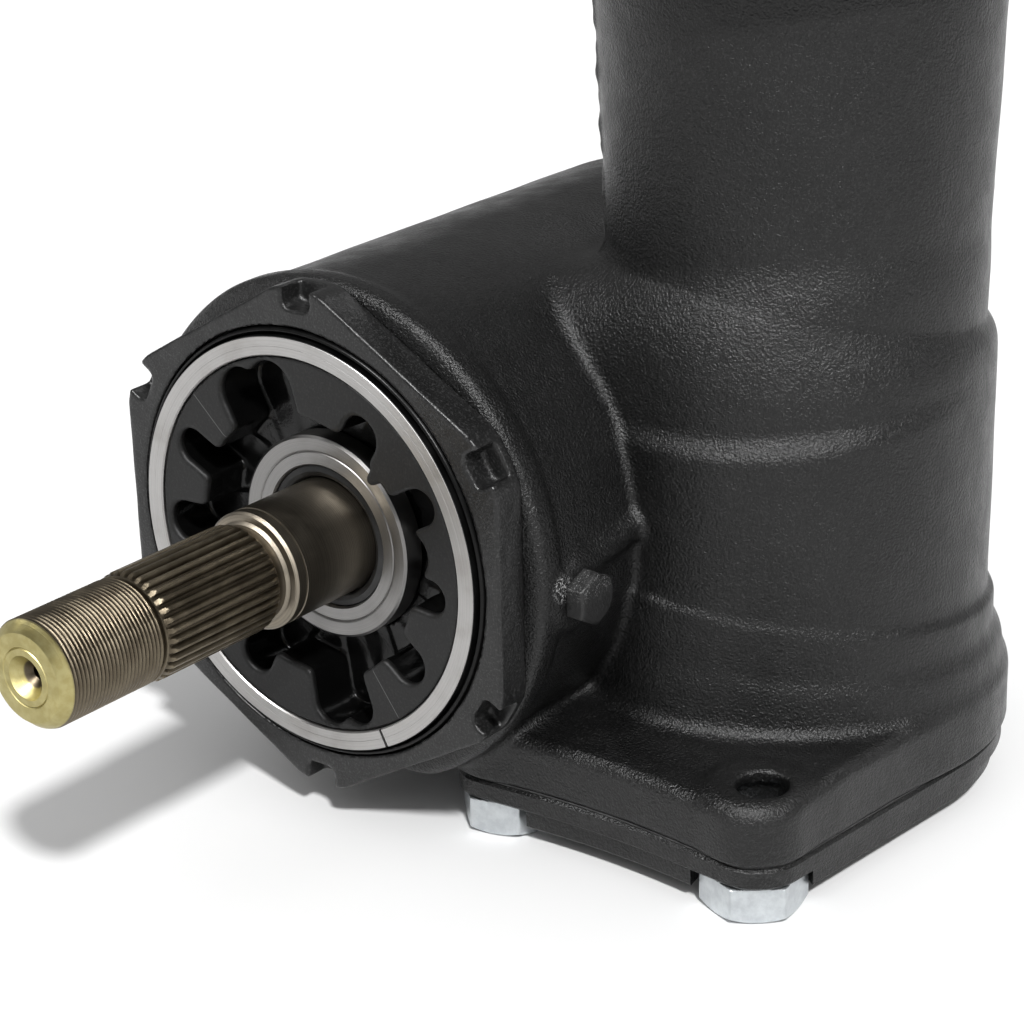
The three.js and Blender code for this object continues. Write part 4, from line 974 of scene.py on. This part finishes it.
def shaft_stations():
    """Heights along the shaft, with the base radius and the kind of surface at each one."""
    end_y = SHAFT_LOW[1]
    stations = [(0.02, end_y + 12, "plain"), (2.3, end_y + 12, "plain"), (2.4, end_y + 5.4, "plain"),
                (6.4, end_y + 0.9, "plain"), (7.0, end_y, "plain"), (9.0, end_y, "plain"),
                (9.3, end_y + 0.35, "plain"), (9.7, end_y, "plain"), (13.9, end_y, "plain"),
                (14.3, end_y + 0.1, "plain"), (17.0, end_y + 3.2, "plain")]
    thread_start, thread_end = end_y + 3.4, end_y + 39.5
    for y in np.arange(thread_start, thread_end, THREAD_PITCH / 6):
        stations.append((THREAD_TIP, y, "thread"))
    stations += [(16.5, end_y + 39.8, "plain"), (16.4, end_y + 40.6, "plain"), (17.3, end_y + 41.0, "plain"),
                 (17.4, end_y + 41.4, "plain"), (SPLINE_ROOT - 0.2, end_y + 41.8, "plain")]
    spline_start, spline_end = SPLINE_START_Y, SPLINE_END_Y
    for share in np.linspace(0, 1, 8):
        stations.append((SPLINE_ROOT - 0.1 + 1.7 * share, spline_start + 2.6 * share, "spline"))
    for y in np.linspace(spline_start + 3, spline_end - 3, 12):
        stations.append((SPLINE_TIP, y, "spline"))
    for turn in np.linspace(0.05, 1, 9) * math.pi / 2:
        drop = 1.9 * (1 - math.cos(turn))
        stations.append((SPLINE_TIP - drop, spline_end - 3 + 3 * math.sin(turn), "spline"))
    neck = spline_end
    stations += [(16.0, neck + 0.2, "plain"), (15.9, neck + 1.2, "plain"), (16.1, neck + 3.4, "plain"),
                 (17.0, neck + 4.4, "plain"), (18.9, neck + 4.8, "plain"), (JOURNAL, neck + 5.8, "plain"),
                 (JOURNAL, neck + 9.0, "plain"), (JOURNAL - 0.4, neck + 9.2, "plain"),
                 (JOURNAL - 0.4, neck + 9.7, "plain"), (JOURNAL, neck + 9.9, "plain"),
                 (JOURNAL, -100, "plain"), (JOURNAL, -86.5, "plain"), (27, -86.5, "plain"),
                 (27, -79, "plain"), (23.9, 20, "plain"), (23.9, 43.4, "plain"), (JOURNAL, 43.6, "plain"),
                 (JOURNAL, 77.6, "plain"), (17.3, 77.8, "plain"), (17.3, 88.4, "plain"),
                 (16.8, SHAFT_HIGH[1], "plain"), (0.02, SHAFT_HIGH[1], "plain")]
    return stations


def make_output_shaft():
    columns = SPLINE_TEETH * 8
    angles = full_turn(columns)
    teeth = tooth_height(angles, SPLINE_TEETH)
    rows, heights = [], []
    for radius, y, kind in shaft_stations():
        row = np.full(columns, float(radius))
        if kind == "thread":
            wave = np.abs(((y / THREAD_PITCH - angles / (2 * math.pi)) % 1.0) * 2 - 1)
            row = radius - THREAD_DEPTH * np.clip(wave * 1.25, 0, 1)
        elif kind == "spline":
            row = np.minimum(radius, SPLINE_ROOT + (SPLINE_TIP - SPLINE_ROOT) * teeth)
        rows.append(row)
        heights.append(y)
    points = turned_points(np.array(rows), heights, angles)
    shaft = new_object("splined_output_shaft", points, grid_quads(len(rows), columns), 35)
    settle_piece(shaft, "output_shaft", MATERIALS["oiled_steel"], "output_line")


# ---------------------------------------------------------------- bolts, plugs and covers

def hex_head(u, v, along, flats, low, high, first_normal):
    """A forged hex head with its far corners turned off."""
    distance = np.hypot(u, v)
    crown = (distance - flats * 0.47) * 0.5 + (low - along) * 0.866
    head = meet(hexagon(u, v, flats / 2, first_normal), slab(along, low, high), 0.5)
    return meet(head, crown, 0.3)


def make_base_bolts():
    """The four base bolts: head down, each turned a little further than the one before."""
    room = np.array([3, 3, 0])
    for k in range(1, 5):
        node = f"base_bolt_{k}"
        low, high = box_mm(node)
        centre_x, centre_y, _ = middle(node)
        turn = BOLT_TURN[0] + BOLT_TURN[1] * k

        def field(x, y, z):
            u, v = x - centre_x, y - centre_y
            head = hex_head(u, v, z, BOLT_FLATS, low[2], low[2] + BOLT_HEAD, turn)
            shank = drum(np.hypot(u, v), BOLT_SHANK, z, low[2] + 2, high[2] - BOLT_SHORT, 1.2)
            return np.minimum(head, shank)

        bolt = cast_piece(f"zinc_base_bolt_{k}", field, low - room, high + room, BOLT_VOXEL, 35)
        settle_piece(bolt, node, MATERIALS["zinc"])


def make_level_plug():
    low, high = box_mm("level_plug")

    def field(x, y, z):
        u, v = y - PLUG[1], z - PLUG[2]
        head = hex_head(u, v, -x, PLUG_FLATS, -high[0], -high[0] + PLUG_HEAD, 0)
        return np.minimum(head, drum(np.hypot(u, v), 5, x, low[0], high[0] - 2, 0.8))

    plug = cast_piece("painted_level_plug", field, low, high, PLUG_VOXEL, 35)
    settle_piece(plug, "level_plug", chipped_paint("chipped_plug_paint"))


def make_rear_cover():
    low, high = box_mm("output_rear_cover")

    def field(x, y, z):
        distance = from_output_axis(x, z)
        cover = drum(distance, 47, y, low[1], low[1] + 8, 1.5)
        cover = weld(cover, drum(distance, 31, y, low[1], high[1], 3), 3)
        cover = carve(cover, drum(distance, 25.5, y, low[1] - 5, high[1] - 5), 0.5)
        for k in range(1, 5):
            screw_x, _, screw_z = middle(f"output_cover_screw_{k}")
            cover = carve(cover, np.hypot(x - screw_x, z - screw_z) - 3.3, 0.4)
        return cover + 0.05 * (2 + lumps(x, y, z, 6))

    cover = cast_piece("rear_cover_cap", field, low, high, COVER_VOXEL)
    settle_piece(cover, "output_rear_cover", MATERIALS["black_paint"])


def make_input_cover():
    low, high = box_mm("input_cover")

    def field(x, y, z):
        distance = np.hypot(x, y)
        face = TOP_Z + GAP
        cover = drum(distance, TOP_FLANGE_RADIUS, z, face, face + 12, 2)
        cover = weld(cover, drum(distance, 35, z, face, high[2], 1), 2.5)
        cover = weld(cover, drum(distance, 49.6, z, low[2], face + 2, 0.5), 0.5)
        cuts = np.minimum.reduce([
            drum(distance, 34.4, z, low[2] - 5, 281.3),
            drum(distance, 25, z, 270, TOP_Z + 10),
            drum(distance, 28.3, z, face + 3, high[2] + 5),
        ])
        cover = carve(cover, cuts, 0.5)
        for k in range(1, 5):
            screw_x, screw_y, _ = middle(f"input_cover_screw_{k}")
            cover = carve(cover, np.hypot(x - screw_x, y - screw_y) - 4.4, 0.4)
        return cover + 0.05 * (2 + lumps(x, y, z, 6))

    cover = cast_piece("input_bearing_cover", field, low, high, INPUT_COVER_VOXEL)
    settle_piece(cover, "input_cover", MATERIALS["black_paint"])


# ---------------------------------------------------------------- CAD nodes that stay

def dress_cad_nodes():
    """Gives every CAD node that still shows its own slot's material, shaded smooth."""
    slots = {entry["node"]: entry["material_slot"] for entry in frame["record"]["subparts"]}
    for name, node in frame["nodes"].items():
        node.data.materials.clear()
        node.data.materials.append(MATERIALS[slots[name]])
        node.data.polygons.foreach_set("use_smooth", [True] * len(node.data.polygons))
        node.data.set_sharp_from_angle(angle=math.radians(30))


# ---------------------------------------------------------------- stage

def make_floor():
    bpy.ops.mesh.primitive_plane_add(size=FLOOR_SIZE, location=(0, 0, FLOOR_Z * MM))
    floor = bpy.context.object
    floor.name = "floor"
    g = Graph("pale_floor")
    floor.data.materials.append(g.finish(Base_Color=grey(FLOOR_SHADE), Roughness=0.9))


def make_lights():
    """A key light that throws the shadow, softboxes that only show as highlights, and a shadowless fill."""
    for name, azimuth, elevation, strength, width, diffuse, glossy in LIGHTS:
        data = bpy.data.lights.new(name, "SUN")
        data.energy = strength
        data.angle = math.radians(width)
        lamp = bpy.data.objects.new(name, data)
        lamp.rotation_euler = (0, math.radians(90 - elevation), math.radians(azimuth))
        lamp.visible_diffuse = diffuse
        lamp.visible_glossy = glossy
        bpy.context.collection.objects.link(lamp)
    world = bpy.data.worlds.new("studio")
    bpy.context.scene.world = world
    world.use_nodes = True
    background = world.node_tree.nodes["Background"]
    background.inputs["Color"].default_value = (1, 1, 1, 1)
    background.inputs["Strength"].default_value = WORLD_STRENGTH
    bpy.context.scene.view_settings.view_transform = "Standard"


def make_camera():
    data = bpy.data.cameras.new("camera")
    data.lens = LENS
    camera = bpy.data.objects.new("camera", data)
    turn = Matrix.Rotation(math.radians(CAMERA_AZIMUTH), 4, "Z")
    tilt = Matrix.Rotation(math.radians(90 - CAMERA_ELEVATION), 4, "X")
    roll = Matrix.Rotation(math.radians(CAMERA_ROLL), 4, "Z")
    camera.matrix_world = Matrix.Translation(CAMERA_PLACE) @ turn @ tilt @ roll
    bpy.context.collection.objects.link(camera)
    bpy.context.scene.camera = camera


make_camera()
dress_cad_nodes()
make_housing()
make_cover()
make_hex_ring()
make_pilot_ring()
make_pilot_seal()
make_carrier()
make_seal()
make_output_shaft()
make_base_bolts()
make_level_plug()
make_rear_cover()
make_input_cover()
make_floor()
make_lights()
